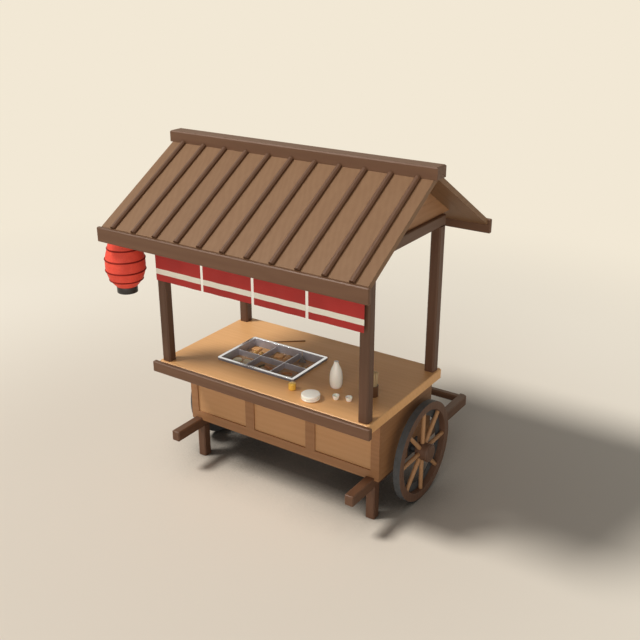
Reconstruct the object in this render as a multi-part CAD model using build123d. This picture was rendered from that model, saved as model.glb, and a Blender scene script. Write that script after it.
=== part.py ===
"""Wooden market stall: a two-wheeled food cart with a serving counter and a gabled board roof.

Drawing frame: +X to the stall's right as a customer sees it, +Y from the customers towards the
cook, +Z up, with the ridge over Y = 0 and the ground at Z = 0. Millimetres.
The parts are written with the origin on the ground in the middle of the stall's footprint box.
The cook stands at +Y, inside the loop of the shafts and the handle.
"""
import os
from math import atan2, cos, degrees, radians, sqrt

from build123d import *

# Driving dimensions: counter

COUNTER_LENGTH = 1806.0
COUNTER_TOP_Z = 908.0
COUNTER_THICKNESS = 70.0
COUNTER_FRONT_LIP = 22.0
COUNTER_BACK_LIP = 33.0
COUNTER_END_LIP = 23.0
RAIL_OVERRUN = 31.0
RAIL_HEIGHT = 82.0
RAIL_THICKNESS = 38.0
COUNTER_CORNER = 12.0
ARRIS = 6.0

# Cart body

BODY_HEIGHT = 505.0
BODY_END_SETBACK = 61.0
KNEE_SPACE = 260.0
BODY_BACK_SETBACK = 25.0
STILE_WIDTH = 66.0
MUNTIN_WIDTH = 80.0
PANEL_COUNT = 3
BOTTOM_RAIL_HEIGHT = 72.0
TOP_RAIL_HEIGHT = 60.0
FRAME_THICKNESS = 34.0
PANEL_THICKNESS = 12.0
PANEL_RECESS = 10.0
PANEL_TONGUE = 8.0
SIDE_THICKNESS = 24.0
FLOOR_THICKNESS = 20.0
NOTCH_CLEARANCE = 1.0

# Posts, beams and roof

POST_SIZE = 66.0
POST_ARRIS = 9.0
POST_HEIGHT = 1085.0
POST_SPACING_Y = 918.0
BEAM_HEIGHT = 76.0
BEAM_END_OVERHANG = 13.0
TOP_BEAM_WIDTH = 56.0

GABLE_HEIGHT = 360.4
GABLE_THICKNESS = 20.0
GABLE_PROUD = 8.0
EAVE_OVERHANG = 380.0
VERGE_OVERHANG = 207.0
ROOF_RISE_PER_RUN = 0.60
DECK_THICKNESS = 36.0
BATTEN_COUNT = 11
BATTEN_END_INSET = 106.5
BATTEN_WIDTH = 30.0
BATTEN_HEIGHT = 22.0
BATTEN_ARRIS = 9.0
TRIM_OVERRUN = 22.0
FASCIA_HEIGHT = 85.0
FASCIA_THICKNESS = 30.0
RIDGE_WIDTH = 116.0
RIDGE_HEIGHT = 80.0
RIDGE_ARRIS = 8.0

# Cloth panels and lantern

NOREN_PANELS = 4
NOREN_END_OVERRUN = 13.0
NOREN_GAP = 22.0
NOREN_DROP = 437.0
NOREN_TOP_SETDOWN = 3.0
NOREN_THICKNESS = 3.0
NOREN_RAIL_DEPTH = 26.0
NOREN_RAIL_HEIGHT = 40.0

LANTERN_VERGE_SETBACK = 24.0
LANTERN_EAVE_SETBACK = 194.0
HOOK_DROP = 80.0
LANTERN_DIAMETER = 290.0
LANTERN_BODY_HEIGHT = 380.0
LANTERN_NECK_DIAMETER = 170.0
LANTERN_FULLNESS = 3.5
LANTERN_HOOPS = 4
LANTERN_HOOP_PITCH = 88.0
LANTERN_HOOP_BITE = 3.0
LANTERN_SIDES = 48
LANTERN_RING_HEIGHT = 30.0
LANTERN_RING_PROUD = 3.0
LANTERN_RING_WIDTH = 24.0
LANTERN_RING_ARRIS = 3.0
LANTERN_WALL = 4.0
LANTERN_BAR_WIDTH = 14.0
LANTERN_BAR_HEIGHT = 8.0
LANTERN_BAR_SETDOWN = 6.0
HANGER_LENGTH = 40.0
HANGER_ROD = 5.0
HANGER_EYE_OUTER = 20.0
HANGER_EYE_THICKNESS = 5.0
HOOK_ROD = 6.0
HOOK_PEG_LENGTH = 26.0
PEG_CLEARANCE = 0.08

# Running gear

SHAFT_INSET = 68.0
SHAFT_WIDTH = 58.0
SHAFT_HEIGHT = 82.0
SHAFT_LET_IN = 19.0
SHAFT_FRONT_OVERHANG = 18.0
HANDLE_REACH = 749.0
HANDLE_DEPTH = 60.0
HANDLE_HEIGHT = 55.0
HANDLE_END_INSET = 16.0
HANDLE_ARRIS = 12.0
SHAFT_END_RADIUS = 34.0
LEG_SIZE = 56.0
LEG_SETBACK = 52.0

WHEEL_GAP = 56.0
WHEEL_BACK_INSET = 277.0
WHEEL_RADIUS = 376.0
TYRE_WIDTH = 51.0
TYRE_THICKNESS = 18.0
TYRE_FLANGE_INNER_RADIUS = 258.0
TYRE_FLANGE_THICKNESS = 7.0
RIM_DEPTH = 42.0
HUB_DIAMETER = 130.0
HUB_LENGTH = 80.0
HUB_INNER_PROUD = 2.0
SPOKE_COUNT = 8
SPOKE_DIAMETER = 25.0
SPOKE_SIDES = 12
TENON_SIZE = 14.0
TENON_LENGTH = 14.0
TENON_END_GAP = 1.0
AXLE_DIAMETER = 34.0
AXLE_CLEARANCE = 0.06
AXLE_FLANGE = 130.0
AXLE_FLANGE_THICKNESS = 10.0
FLANGE_FOOT_GAP = 4.0
AXLE_SHOULDER = 56.0
AXLE_SIDE_PLAY = 5.0
AXLE_CAP_DIAMETER = 54.0
AXLE_CAP_LENGTH = 12.0

# Oden pan: a divided steel tray let into the counter

PAN_CENTRE_X = -212.0
PAN_CENTRE_Y = -34.0
PAN_LENGTH = 650.0
PAN_DEPTH = 418.0
PAN_SEAT_GAP = 0.5
PAN_SHEET = 3.0
PAN_RIM_WIDTH = 20.0
PAN_RIM_HEIGHT = 18.0
PAN_RIM_CORNER = 12.0
PAN_COLUMNS = 3
PAN_ROWS = 2
PAN_DIVIDER = 3.0
DIVIDER_SETDOWN = 15.0
PAN_FIT = 1.0

# Food in the pan

DAIKON_DIAMETER = 72.0
DAIKON_HEIGHT = 35.0
SLAB_LENGTH = 72.0
SLAB_WIDTH = 58.0
SLAB_HEIGHT = 33.0
ROLL_DIAMETER = 36.0
ROLL_LENGTH = 84.0
BALL_DIAMETER = 40.0
KELP_DIAMETER = 30.0
KELP_LENGTH = 58.0
BALL_FLAT_DIAMETER = 16.0
BALL_FACET_RISE = 7.0
BALL_FACET_REACH = 15.0
KONNYAKU_SIDE = 80.0
KONNYAKU_HEIGHT = 80.0
KONNYAKU_THICKNESS = 20.0
SKEWER_DIAMETER = 5.0
SKEWER_LENGTH = 116.0
SKEWER_CLEARANCE = 0.3
FOOD_ARRIS = 4.0
FOOD_SIDES = 12
DAIKON_SIDES = 24

# Where the food lies: column, row, shares of the compartment's half length and depth, turn in degrees

DAIKON_PLACES = [(0, 0, -0.45, 0.14, 0), (0, 0, 0.30, 0.27, 0), (0, 0, 0.0, -0.51, 0)]
TOFU_PLACES = [(0, 1, -0.47, 0.49, 8), (0, 1, 0.36, 0.53, -6), (1, 1, -0.43, 0.39, 12),
               (1, 1, 0.43, 0.45, -5), (1, 1, 0.19, -0.31, 20), (2, 1, 0.49, 0.43, 10)]
ROLL_PLACES = [(0, 1, -0.09, -0.51, 10), (1, 0, 0.09, 0.43, -12), (1, 0, -0.04, -0.14, 14), (2, 0, -0.36, 0.33, 30)]
BALL_PLACES = [(0, 1, -0.21, 0.0, 0), (0, 1, 0.24, 0.04, 0), (2, 1, -0.13, -0.37, 0), (2, 1, 0.32, -0.23, 0)]
KELP_PLACES = [(2, 0, 0.38, 0.10, 40), (2, 0, 0.34, -0.39, -15), (1, 0, -0.53, 0.43, 70), (2, 0, -0.38, -0.33, 65)]
KONNYAKU_PLACE = (2, 1, -0.55, 0.54, 20)

# Tableware on the counter, placed from the counter's right end and its front edge

TABLEWARE_SIDES = 24
DISH_SIDES = 36
JAR_DIAMETER = 54.0
JAR_HEIGHT = 50.0
JAR_ARRIS = 6.0
JAR_FROM_END = 711.0
JAR_FROM_FRONT = 162.0
DISH_DIAMETER = 132.0
DISH_FOOT_DIAMETER = 112.0
DISH_WAIST_DIAMETER = 126.0
DISH_WAIST_Z = 7.0
DISH_HEIGHT = 20.0
DISH_FROM_END = 523.0
DISH_FROM_FRONT = 114.0
LID_HEIGHT = 23.0
LID_SHOULDER_Z = 17.0
LID_SHOULDER_DIAMETER = 124.0
LID_TOP_DIAMETER = 104.0
BOTTLE_HEIGHT = 198.0
BOTTLE_FOOT_DIAMETER = 74.0
BOTTLE_HEEL_DIAMETER = 83.0
BOTTLE_HEEL_Z = 20.0
BOTTLE_BELLY_DIAMETER = 93.0
BOTTLE_BELLY_Z = 66.0
BOTTLE_UPPER_DIAMETER = 87.0
BOTTLE_UPPER_Z = 102.0
BOTTLE_SHOULDER_DIAMETER = 73.0
BOTTLE_SHOULDER_Z = 132.0
BOTTLE_NECK_DIAMETER = 32.0
BOTTLE_NECK_Z = 180.0
BOTTLE_LIP_DIAMETER = 34.0
BOTTLE_MOUTH_DIAMETER = 16.0
BOTTLE_MOUTH_DEPTH = 34.0
BOTTLE_FROM_END = 478.0
BOTTLE_FROM_FRONT = 361.0
CUP_DIAMETER = 48.0
CUP_FOOT_DIAMETER = 37.0
CUP_HEIGHT = 30.0
CUP_WALL = 3.0
CUPS_FROM_END = (381.0, 294.0)
CUPS_FROM_FRONT = (209.0, 236.0)
HOLDER_DIAMETER = 72.0
HOLDER_HEIGHT = 82.0
HOLDER_WALL = 4.0
HOLDER_FROM_END = 197.0
HOLDER_FROM_FRONT = 391.0
CHOPSTICK_DIAMETER = 6.5
CHOPSTICK_TIP_DIAMETER = 4.0
CHOPSTICK_LENGTH = 176.0
CHOPSTICK_COUNT = 4
CHOPSTICK_PITCH = 9.0
CHOPSTICK_SIDES = 8
CHOPSTICK_ROW_TURN = 34.0
COOKING_STICK_DIAMETER = 5.0
COOKING_STICK_LENGTH = 250.0
COOKING_STICK_GAP = 0.6
COOKING_STICKS_FROM_END = 1200.0
COOKING_STICKS_FROM_FRONT = 807.0
COOKING_STICKS_TURN = 37.0

# Places that follow from the sizes above

POST_X = COUNTER_LENGTH / 2 - COUNTER_END_LIP - POST_SIZE / 2
POST_Y = POST_SPACING_Y / 2
COUNTER_FRONT_Y = -POST_Y - POST_SIZE / 2 - COUNTER_FRONT_LIP
COUNTER_BACK_Y = POST_Y + POST_SIZE / 2 + COUNTER_BACK_LIP
COUNTER_UNDER_Z = COUNTER_TOP_Z - COUNTER_THICKNESS
BODY_HALF = COUNTER_LENGTH / 2 - BODY_END_SETBACK
BODY_FRONT_Y = COUNTER_FRONT_Y + KNEE_SPACE
BODY_BACK_Y = COUNTER_BACK_Y - BODY_BACK_SETBACK
BODY_BOTTOM_Z = COUNTER_UNDER_Z - BODY_HEIGHT
POST_TOP_Z = COUNTER_TOP_Z + POST_HEIGHT
BEAM_TOP_Z = POST_TOP_Z + BEAM_HEIGHT
PITCH = degrees(atan2(ROOF_RISE_PER_RUN, 1.0))
UNDER_APEX_Z = BEAM_TOP_Z + GABLE_HEIGHT
APEX_Z = UNDER_APEX_Z + DECK_THICKNESS / cos(radians(PITCH))
EAVE_HALF_WIDTH = POST_Y + EAVE_OVERHANG
DECK_HALF_WIDTH = EAVE_HALF_WIDTH - FASCIA_THICKNESS
DECK_HALF_LENGTH = POST_X + VERGE_OVERHANG
TRIM_HALF_LENGTH = DECK_HALF_LENGTH + TRIM_OVERRUN
LANTERN_X = LANTERN_VERGE_SETBACK - DECK_HALF_LENGTH
LANTERN_Y = LANTERN_EAVE_SETBACK - EAVE_HALF_WIDTH
SHAFT_X = BODY_HALF - SHAFT_INSET
SHAFT_TOP_Z = BODY_BOTTOM_Z + SHAFT_LET_IN
SHAFT_BOTTOM_Z = SHAFT_TOP_Z - SHAFT_HEIGHT
SHAFT_FRONT_Y = COUNTER_FRONT_Y - SHAFT_FRONT_OVERHANG
SHAFT_BACK_Y = BODY_BACK_Y + HANDLE_REACH
WHEEL_Y = BODY_BACK_Y - WHEEL_BACK_INSET
PAN_TOP_Z = COUNTER_TOP_Z + PAN_RIM_HEIGHT
PAN_HEIGHT = PAN_RIM_HEIGHT + COUNTER_THICKNESS - PAN_SEAT_GAP
PAN_FLOOR_Z = PAN_TOP_Z - PAN_HEIGHT + PAN_SHEET
CELL_X = (PAN_LENGTH - 2 * PAN_SHEET - (PAN_COLUMNS - 1) * PAN_DIVIDER) / PAN_COLUMNS
CELL_Y = (PAN_DEPTH - 2 * PAN_SHEET - (PAN_ROWS - 1) * PAN_DIVIDER) / PAN_ROWS
FOOTPRINT_X = (TRIM_HALF_LENGTH + LANTERN_X - LANTERN_DIAMETER / 2) / 2
FOOTPRINT_Y = (SHAFT_BACK_Y - EAVE_HALF_WIDTH) / 2

parts = {}
ON_TOP = (Align.CENTER, Align.CENTER, Align.MIN)
BELOW = (Align.CENTER, Align.CENTER, Align.MAX)


def span_box(x0, x1, y0, y1, z0, z1):
    """A box between two corners."""
    box = Box(x1 - x0, y1 - y0, z1 - z0, align=(Align.MIN, Align.MIN, Align.MIN))
    return Pos(x0, y0, z0) * box


def eased(shape, axis, size=ARRIS):
    """Planes off the long edges that run along one axis."""
    return chamfer(shape.edges().filter_by(axis), size)


def softened(shape, size=ARRIS):
    """Planes off every edge of a simple block."""
    return chamfer(shape.edges(), size)


def roof_top(y):
    """Height of the roof boards' upper face at a distance from the ridge."""
    return APEX_Z - ROOF_RISE_PER_RUN * abs(y)


def roof_under(y):
    """Height of the roof boards' lower face."""
    return UNDER_APEX_Z - ROOF_RISE_PER_RUN * abs(y)


def lengthwise(points, x0, x1):
    """Extrudes an outline given as (y, z) points from x0 to x1."""
    face = make_face(Polyline(*points, close=True))
    plane = Plane(origin=(x0, 0, 0), x_dir=(0, 1, 0), z_dir=(1, 0, 0))
    return extrude(plane * face, x1 - x0)


def few_sided(stations, sides):
    """A small turned form with flat sides, through (height, radius) stations on the vertical axis."""
    return loft([Pos(0, 0, z) * RegularPolygon(radius, sides) for z, radius in stations], ruled=True)


def lying(shape, diameter):
    """Lays a form that stands on the vertical axis down along X, on its side."""
    return Pos(0, 0, diameter / 2) * Rot(0, 90, 0) * shape


def pair(make):
    """The same piece at the left and at the right, as two solids that don't touch."""
    return Compound([make(-1), make(1)])


# Counter

def make_counter():
    half = COUNTER_LENGTH / 2
    slab = span_box(-half, half, COUNTER_FRONT_Y, COUNTER_BACK_Y, COUNTER_UNDER_Z, COUNTER_TOP_Z)
    slab = eased(slab, Axis.Z, COUNTER_CORNER)
    slab = chamfer(slab.faces().sort_by(Axis.Z)[-1].edges(), ARRIS)
    hole = Box(PAN_LENGTH + 2 * PAN_FIT, PAN_DEPTH + 2 * PAN_FIT, 3 * COUNTER_THICKNESS)
    parts["counter_top"] = slab - Pos(PAN_CENTRE_X, PAN_CENTRE_Y, COUNTER_TOP_Z) * hole
    reach = half + RAIL_OVERRUN
    rail = span_box(-reach, reach, COUNTER_FRONT_Y - RAIL_THICKNESS, COUNTER_FRONT_Y,
                    COUNTER_TOP_Z - RAIL_HEIGHT, COUNTER_TOP_Z)
    parts["counter_front_rail"] = softened(rail)


# Cart body: a framed front with three loose panels, boarded sides and back, and a floor

def shaft_notches(y0, y1):
    """Room for the two shafts, where a board comes down over them."""
    reach = SHAFT_WIDTH / 2 + NOTCH_CLEARANCE
    return pair(lambda sign: span_box(sign * SHAFT_X - reach, sign * SHAFT_X + reach, y0 - 1, y1 + 1,
                                      SHAFT_BOTTOM_Z, SHAFT_TOP_Z))


def make_body():
    top = COUNTER_UNDER_Z
    pitch = (2 * BODY_HALF - 2 * STILE_WIDTH + MUNTIN_WIDTH) / PANEL_COUNT
    opening = pitch - MUNTIN_WIDTH
    back_of_frame = BODY_FRONT_Y + FRAME_THICKNESS
    frame = span_box(-BODY_HALF, BODY_HALF, BODY_FRONT_Y, back_of_frame, BODY_BOTTOM_Z, top)
    z0, z1 = BODY_BOTTOM_Z + BOTTOM_RAIL_HEIGHT, top - TOP_RAIL_HEIGHT
    groove_y = BODY_FRONT_Y + PANEL_RECESS
    panels = []
    for index in range(PANEL_COUNT):
        x0 = -BODY_HALF + STILE_WIDTH + index * pitch
        x1 = x0 + opening
        frame -= span_box(x0, x1, BODY_FRONT_Y - 1, back_of_frame + 1, z0, z1)
        panel = span_box(x0 - PANEL_TONGUE, x1 + PANEL_TONGUE, groove_y,
                         groove_y + PANEL_THICKNESS, z0 - PANEL_TONGUE, z1 + PANEL_TONGUE)
        frame -= panel
        panels.append(panel)
    parts["front_panels"] = Compound(panels)
    parts["cart_front_frame"] = frame - shaft_notches(BODY_FRONT_Y, back_of_frame)
    inside = BODY_HALF - SIDE_THICKNESS
    back_face = BODY_BACK_Y - SIDE_THICKNESS
    for side, sign in (("left", -1), ("right", 1)):
        x0, x1 = sorted((sign * inside, sign * BODY_HALF))
        parts[f"cart_{side}_side"] = span_box(x0, x1, back_of_frame, BODY_BACK_Y, BODY_BOTTOM_Z, top)
    back = span_box(-inside, inside, back_face, BODY_BACK_Y, BODY_BOTTOM_Z, top)
    parts["cart_back"] = back - shaft_notches(back_face, BODY_BACK_Y)
    parts["cart_floor"] = span_box(-inside, inside, back_of_frame, back_face,
                                   SHAFT_TOP_Z, SHAFT_TOP_Z + FLOOR_THICKNESS)


# Posts and beams

def make_posts():
    half = POST_SIZE / 2
    for depth, y in (("front", -POST_Y), ("back", POST_Y)):
        def post(sign, y=y):
            x = sign * POST_X
            block = span_box(x - half, x + half, y - half, y + half, COUNTER_TOP_Z, POST_TOP_Z)
            return eased(block, Axis.Z, POST_ARRIS)
        parts[f"{depth}_posts"] = pair(post)
    end_y = POST_Y + half + BEAM_END_OVERHANG

    def tie_beam(sign):
        x = sign * POST_X
        return softened(span_box(x - half, x + half, -end_y, end_y, POST_TOP_Z, BEAM_TOP_Z))
    parts["tie_beams"] = pair(tie_beam)

    def top_beam(sign):
        reach, w = POST_X - half, TOP_BEAM_WIDTH / 2
        return span_box(-reach, reach, sign * POST_Y - w, sign * POST_Y + w, POST_TOP_Z, BEAM_TOP_Z)
    parts["top_beams"] = pair(top_beam)


# Roof: two board decks with cover battens, held by the boarded gables and the ridge beam

def batten(x, sign, start_y, slope):
    """One cover batten, from the ridge beam down to the fascia."""
    strip = Box(BATTEN_WIDTH, slope, BATTEN_HEIGHT, align=(Align.CENTER, Align.MIN, Align.MIN))
    strip = chamfer(strip.edges().filter_by(Axis.Y).group_by(Axis.Z)[-1], BATTEN_ARRIS)
    turn = Rot(-PITCH, 0, 0) if sign > 0 else Rot(0, 0, 180) * Rot(-PITCH, 0, 0)
    return Pos(x, start_y, roof_top(start_y)) * turn * strip


def make_roof():
    pitch = 2 * (DECK_HALF_LENGTH - BATTEN_END_INSET) / (BATTEN_COUNT - 1)
    eave_top = roof_top(EAVE_HALF_WIDTH)
    for depth, sign in (("front", -1), ("back", 1)):
        e = sign * DECK_HALF_WIDTH
        outline = [(0, APEX_Z), (0, UNDER_APEX_Z), (e, roof_under(e)), (e, roof_top(e))]
        parts[f"{depth}_roof_boards"] = lengthwise(outline, -DECK_HALF_LENGTH, DECK_HALF_LENGTH)
        ridge_side = sign * RIDGE_WIDTH / 2
        slope = (DECK_HALF_WIDTH - RIDGE_WIDTH / 2) / cos(radians(PITCH))
        places = [(index - (BATTEN_COUNT - 1) / 2) * pitch for index in range(BATTEN_COUNT)]
        parts[f"{depth}_roof_battens"] = Compound([batten(x, sign, ridge_side, slope) for x in places])
        y0, y1 = sorted((sign * EAVE_HALF_WIDTH, e))
        board = span_box(-TRIM_HALF_LENGTH, TRIM_HALF_LENGTH, y0, y1, eave_top - FASCIA_HEIGHT,
                         eave_top + ROOF_RISE_PER_RUN * FASCIA_THICKNESS)
        parts[f"{depth}_fascia"] = softened(board)

    w, z = RIDGE_WIDTH / 2, roof_top(RIDGE_WIDTH / 2)
    outline = [(-w, z), (-w, z + RIDGE_HEIGHT), (w, z + RIDGE_HEIGHT), (w, z), (0, APEX_Z)]
    ridge = lengthwise(outline, -TRIM_HALF_LENGTH, TRIM_HALF_LENGTH)
    parts["ridge_beam"] = chamfer(ridge.faces().sort_by(Axis.Z)[-1].edges(), RIDGE_ARRIS)

    foot = GABLE_HEIGHT / ROOF_RISE_PER_RUN
    outer = POST_X + GABLE_PROUD

    def gable(sign):
        x0, x1 = sorted((sign * outer, sign * (outer - GABLE_THICKNESS)))
        return lengthwise([(-foot, BEAM_TOP_Z), (foot, BEAM_TOP_Z), (0, UNDER_APEX_Z)], x0, x1)
    parts["gables"] = pair(gable)


# Cloth panels on their rail

def make_noren():
    post_face = -POST_Y - POST_SIZE / 2
    rail_face = post_face - NOREN_RAIL_DEPTH
    half = POST_X + NOREN_END_OVERRUN
    top = POST_TOP_Z - NOREN_TOP_SETDOWN
    parts["noren_rail"] = span_box(-half, half, rail_face, post_face, top - NOREN_RAIL_HEIGHT, top)
    width = (2 * half - (NOREN_PANELS - 1) * NOREN_GAP) / NOREN_PANELS
    for index in range(NOREN_PANELS):
        x0 = -half + index * (width + NOREN_GAP)
        parts[f"noren_panel_{index + 1}"] = span_box(
            x0, x0 + width, rail_face - NOREN_THICKNESS, rail_face, top - NOREN_DROP, top)


# Paper lantern: a paper barrel between two black rings, with an eye that hangs on a peg

def barrel_radius(z):
    """The paper's radius at a height from the lantern's middle: full at the belly, quick to the neck."""
    neck = LANTERN_NECK_DIAMETER / 2
    share = abs(z) / (LANTERN_BODY_HEIGHT / 2)
    return neck + (LANTERN_DIAMETER / 2 - neck) * (1 - share ** LANTERN_FULLNESS)


def lantern_barrel(offset, overrun):
    """The paper barrel moved in by an offset: drawn in at each hoop and full between the hoops."""
    half = LANTERN_BODY_HEIGHT / 2
    hoops = [(index - (LANTERN_HOOPS - 1) / 2) * LANTERN_HOOP_PITCH for index in range(LANTERN_HOOPS)]
    levels = [-half, *hoops, half]
    stations = [(-half - overrun, barrel_radius(half) - offset)]
    for low, high in zip(levels, levels[1:]):
        if low in hoops:
            stations.append((low, barrel_radius(low) - LANTERN_HOOP_BITE - offset))
        else:
            stations.append((low, barrel_radius(low) - offset))
        middle = (low + high) / 2
        stations.append((middle, barrel_radius(middle) - offset))
    stations.append((half + overrun, barrel_radius(half) - offset))
    return few_sided(stations[1:] if overrun == 0 else stations, LANTERN_SIDES)


def lantern_ring():
    """A bentwood ring, open in the middle, with its upper outer edge planed off."""
    outer = LANTERN_NECK_DIAMETER / 2 + LANTERN_RING_PROUD
    ring = few_sided([(0, outer), (LANTERN_RING_HEIGHT - LANTERN_RING_ARRIS, outer),
                      (LANTERN_RING_HEIGHT, outer - LANTERN_RING_ARRIS)], LANTERN_SIDES)
    inner = outer - LANTERN_RING_WIDTH
    return ring - few_sided([(-LANTERN_RING_HEIGHT, inner), (2 * LANTERN_RING_HEIGHT, inner)], LANTERN_SIDES)


def make_lantern():
    half = LANTERN_BODY_HEIGHT / 2
    peg_z = roof_under(LANTERN_Y) - HOOK_DROP
    bar_z = peg_z - HANGER_LENGTH
    mid_z = bar_z + LANTERN_BAR_SETDOWN - LANTERN_RING_HEIGHT - half
    place = Pos(LANTERN_X, LANTERN_Y, mid_z)
    paper = lantern_barrel(0, 0) - lantern_barrel(LANTERN_WALL, LANTERN_WALL)
    parts["lantern_shade"] = place * paper
    parts["lantern_bottom_ring"] = place * Pos(0, 0, -half) * Rot(180, 0, 0) * lantern_ring()
    bar_reach = LANTERN_NECK_DIAMETER + 2 * LANTERN_RING_PROUD - LANTERN_RING_WIDTH
    bar = Box(bar_reach, LANTERN_BAR_WIDTH, LANTERN_BAR_HEIGHT, align=BELOW)
    top = lantern_ring() + Pos(0, 0, LANTERN_RING_HEIGHT - LANTERN_BAR_SETDOWN) * bar
    parts["lantern_top_ring"] = place * Pos(0, 0, half) * top

    stem = Cylinder(HANGER_ROD / 2, HANGER_LENGTH, align=ON_TOP)
    eye = Rot(0, 90, 0) * Cylinder(HANGER_EYE_OUTER / 2, HANGER_EYE_THICKNESS)
    bore = Rot(0, 90, 0) * Cylinder(HOOK_ROD / 2 + PEG_CLEARANCE, HANGER_EYE_OUTER)
    hanger = Pos(0, 0, bar_z) * stem + Pos(0, 0, peg_z) * eye - Pos(0, 0, peg_z) * bore
    parts["lantern_hanger"] = Pos(LANTERN_X, LANTERN_Y, 0) * hanger

    rod_x = HOOK_PEG_LENGTH / 2 + HOOK_ROD / 2
    reach = HOOK_DROP + HOOK_PEG_LENGTH
    foot = Pos(rod_x, 0, peg_z - HOOK_ROD / 2)
    rod = foot * Cylinder(HOOK_ROD / 2, reach, align=ON_TOP)
    peg = Pos(HOOK_ROD / 4, 0, peg_z) * Rot(0, 90, 0) * Cylinder(HOOK_ROD / 2, HOOK_PEG_LENGTH + HOOK_ROD / 2)
    hook = Pos(LANTERN_X, LANTERN_Y, 0) * (rod + peg) - parts["front_roof_boards"]
    parts["lantern_hook"] = hook.solids().sort_by(Axis.Z)[0]
    return peg_z


# Shafts, handle and legs

def make_chassis():
    half = SHAFT_WIDTH / 2
    leg_half = LEG_SIZE / 2
    leg_y = BODY_FRONT_Y + LEG_SETBACK

    def shaft(sign):
        x = sign * SHAFT_X
        block = span_box(x - half, x + half, SHAFT_FRONT_Y, SHAFT_BACK_Y, SHAFT_BOTTOM_Z, SHAFT_TOP_Z)
        block = chamfer(block.edges().filter_by(Axis.Z).group_by(Axis.Y)[0], ARRIS)
        outer_back = block.edges().filter_by(Axis.Z).sort_by(lambda edge: edge.center().Y + sign * edge.center().X)
        block = fillet(outer_back[-1], SHAFT_END_RADIUS)
        block = chamfer(block.faces().sort_by(Axis.Z)[-1].edges(), ARRIS)
        return chamfer(block.faces().sort_by(Axis.Z)[0].edges(), ARRIS)

    def leg(sign):
        x = sign * SHAFT_X
        block = span_box(x - leg_half, x + leg_half, leg_y - leg_half, leg_y + leg_half, 0, SHAFT_BOTTOM_Z)
        return eased(block, Axis.Z)
    parts["shafts"] = pair(shaft)
    parts["legs"] = pair(leg)
    reach = SHAFT_X - half
    back = SHAFT_BACK_Y - HANDLE_END_INSET
    bar = span_box(-reach, reach, back - HANDLE_DEPTH, back, SHAFT_TOP_Z - HANDLE_HEIGHT, SHAFT_TOP_Z)
    parts["handle_bar"] = eased(bar, Axis.X, HANDLE_ARRIS)


# Wheels on stub axles

def wheel_ring(outer, inner, x0, x1):
    """A ring about the wheel's own axis, which is X."""
    ring = Cylinder(outer, x1 - x0) - Cylinder(inner, 3 * (x1 - x0))
    return Pos((x0 + x1) / 2, 0, 0) * Rot(0, 90, 0) * ring


def make_wheel(side, sign):
    """One wheel and its stub axle, drawn for the right side and mirrored for the left."""
    place = Pos(0, WHEEL_Y, WHEEL_RADIUS)
    inner_x = BODY_HALF + WHEEL_GAP
    flange_x, outer_x = inner_x + TYRE_FLANGE_THICKNESS, inner_x + TYRE_WIDTH
    mid_x = (flange_x + outer_x) / 2
    seat = WHEEL_RADIUS - TYRE_THICKNESS
    rim_inner = seat - RIM_DEPTH
    hub_inner_x = inner_x + HUB_INNER_PROUD
    hub_outer_x = hub_inner_x + HUB_LENGTH
    tyre = wheel_ring(WHEEL_RADIUS, seat, inner_x, outer_x)
    tyre += wheel_ring(WHEEL_RADIUS, TYRE_FLANGE_INNER_RADIUS, inner_x, flange_x)
    rim = wheel_ring(seat, rim_inner, flange_x, outer_x)
    hub = wheel_ring(HUB_DIAMETER / 2, AXLE_DIAMETER / 2 + AXLE_CLEARANCE, hub_inner_x, hub_outer_x)

    foot = HUB_DIAMETER / 2
    head = sqrt(rim_inner ** 2 - (SPOKE_DIAMETER / 2) ** 2)
    rod = few_sided([(foot, SPOKE_DIAMETER / 2), (head, SPOKE_DIAMETER / 2)], SPOKE_SIDES)
    tenon_foot, tenon_head = foot - TENON_LENGTH, rim_inner + TENON_LENGTH
    tenon = Pos(0, 0, tenon_foot) * Box(TENON_SIZE, TENON_SIZE, tenon_head - tenon_foot, align=ON_TOP)
    mortise = Pos(0, 0, tenon_foot - TENON_END_GAP) * Box(
        TENON_SIZE, TENON_SIZE, tenon_head - tenon_foot + 2 * TENON_END_GAP, align=ON_TOP)
    spokes = []
    for index in range(SPOKE_COUNT):
        turn = Pos(mid_x, 0, 0) * Rot(index * 360 / SPOKE_COUNT, 0, 0)
        spokes.append(turn * (rod + tenon))
        rim -= turn * mortise
        hub -= turn * mortise

    drop = WHEEL_RADIUS - BODY_BOTTOM_Z - FLANGE_FOOT_GAP
    axle = span_box(BODY_HALF, BODY_HALF + AXLE_FLANGE_THICKNESS, -AXLE_FLANGE / 2, AXLE_FLANGE / 2,
                    -drop, AXLE_FLANGE / 2)
    along = Rot(0, 90, 0)
    shoulder = hub_inner_x - AXLE_SIDE_PLAY - BODY_HALF
    journal = hub_outer_x + AXLE_SIDE_PLAY - BODY_HALF
    axle += Pos(BODY_HALF, 0, 0) * along * Cylinder(AXLE_SHOULDER / 2, shoulder, align=ON_TOP)
    axle += Pos(BODY_HALF, 0, 0) * along * Cylinder(AXLE_DIAMETER / 2, journal, align=ON_TOP)
    axle += Pos(BODY_HALF + journal, 0, 0) * along * Cylinder(AXLE_CAP_DIAMETER / 2, AXLE_CAP_LENGTH,
                                                              align=ON_TOP)
    made = {"wheel_tyre": tyre, "wheel_rim": rim, "wheel_hub": hub, "wheel_spokes": Compound(spokes),
            "stub_axle": axle}
    for name, shape in made.items():
        shape = place * shape
        parts[f"{side}_{name}"] = shape if sign > 0 else mirror(shape, Plane.YZ)
    return mid_x


# Oden pan let into the counter, with its fixed dividers a little below the rim

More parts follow.
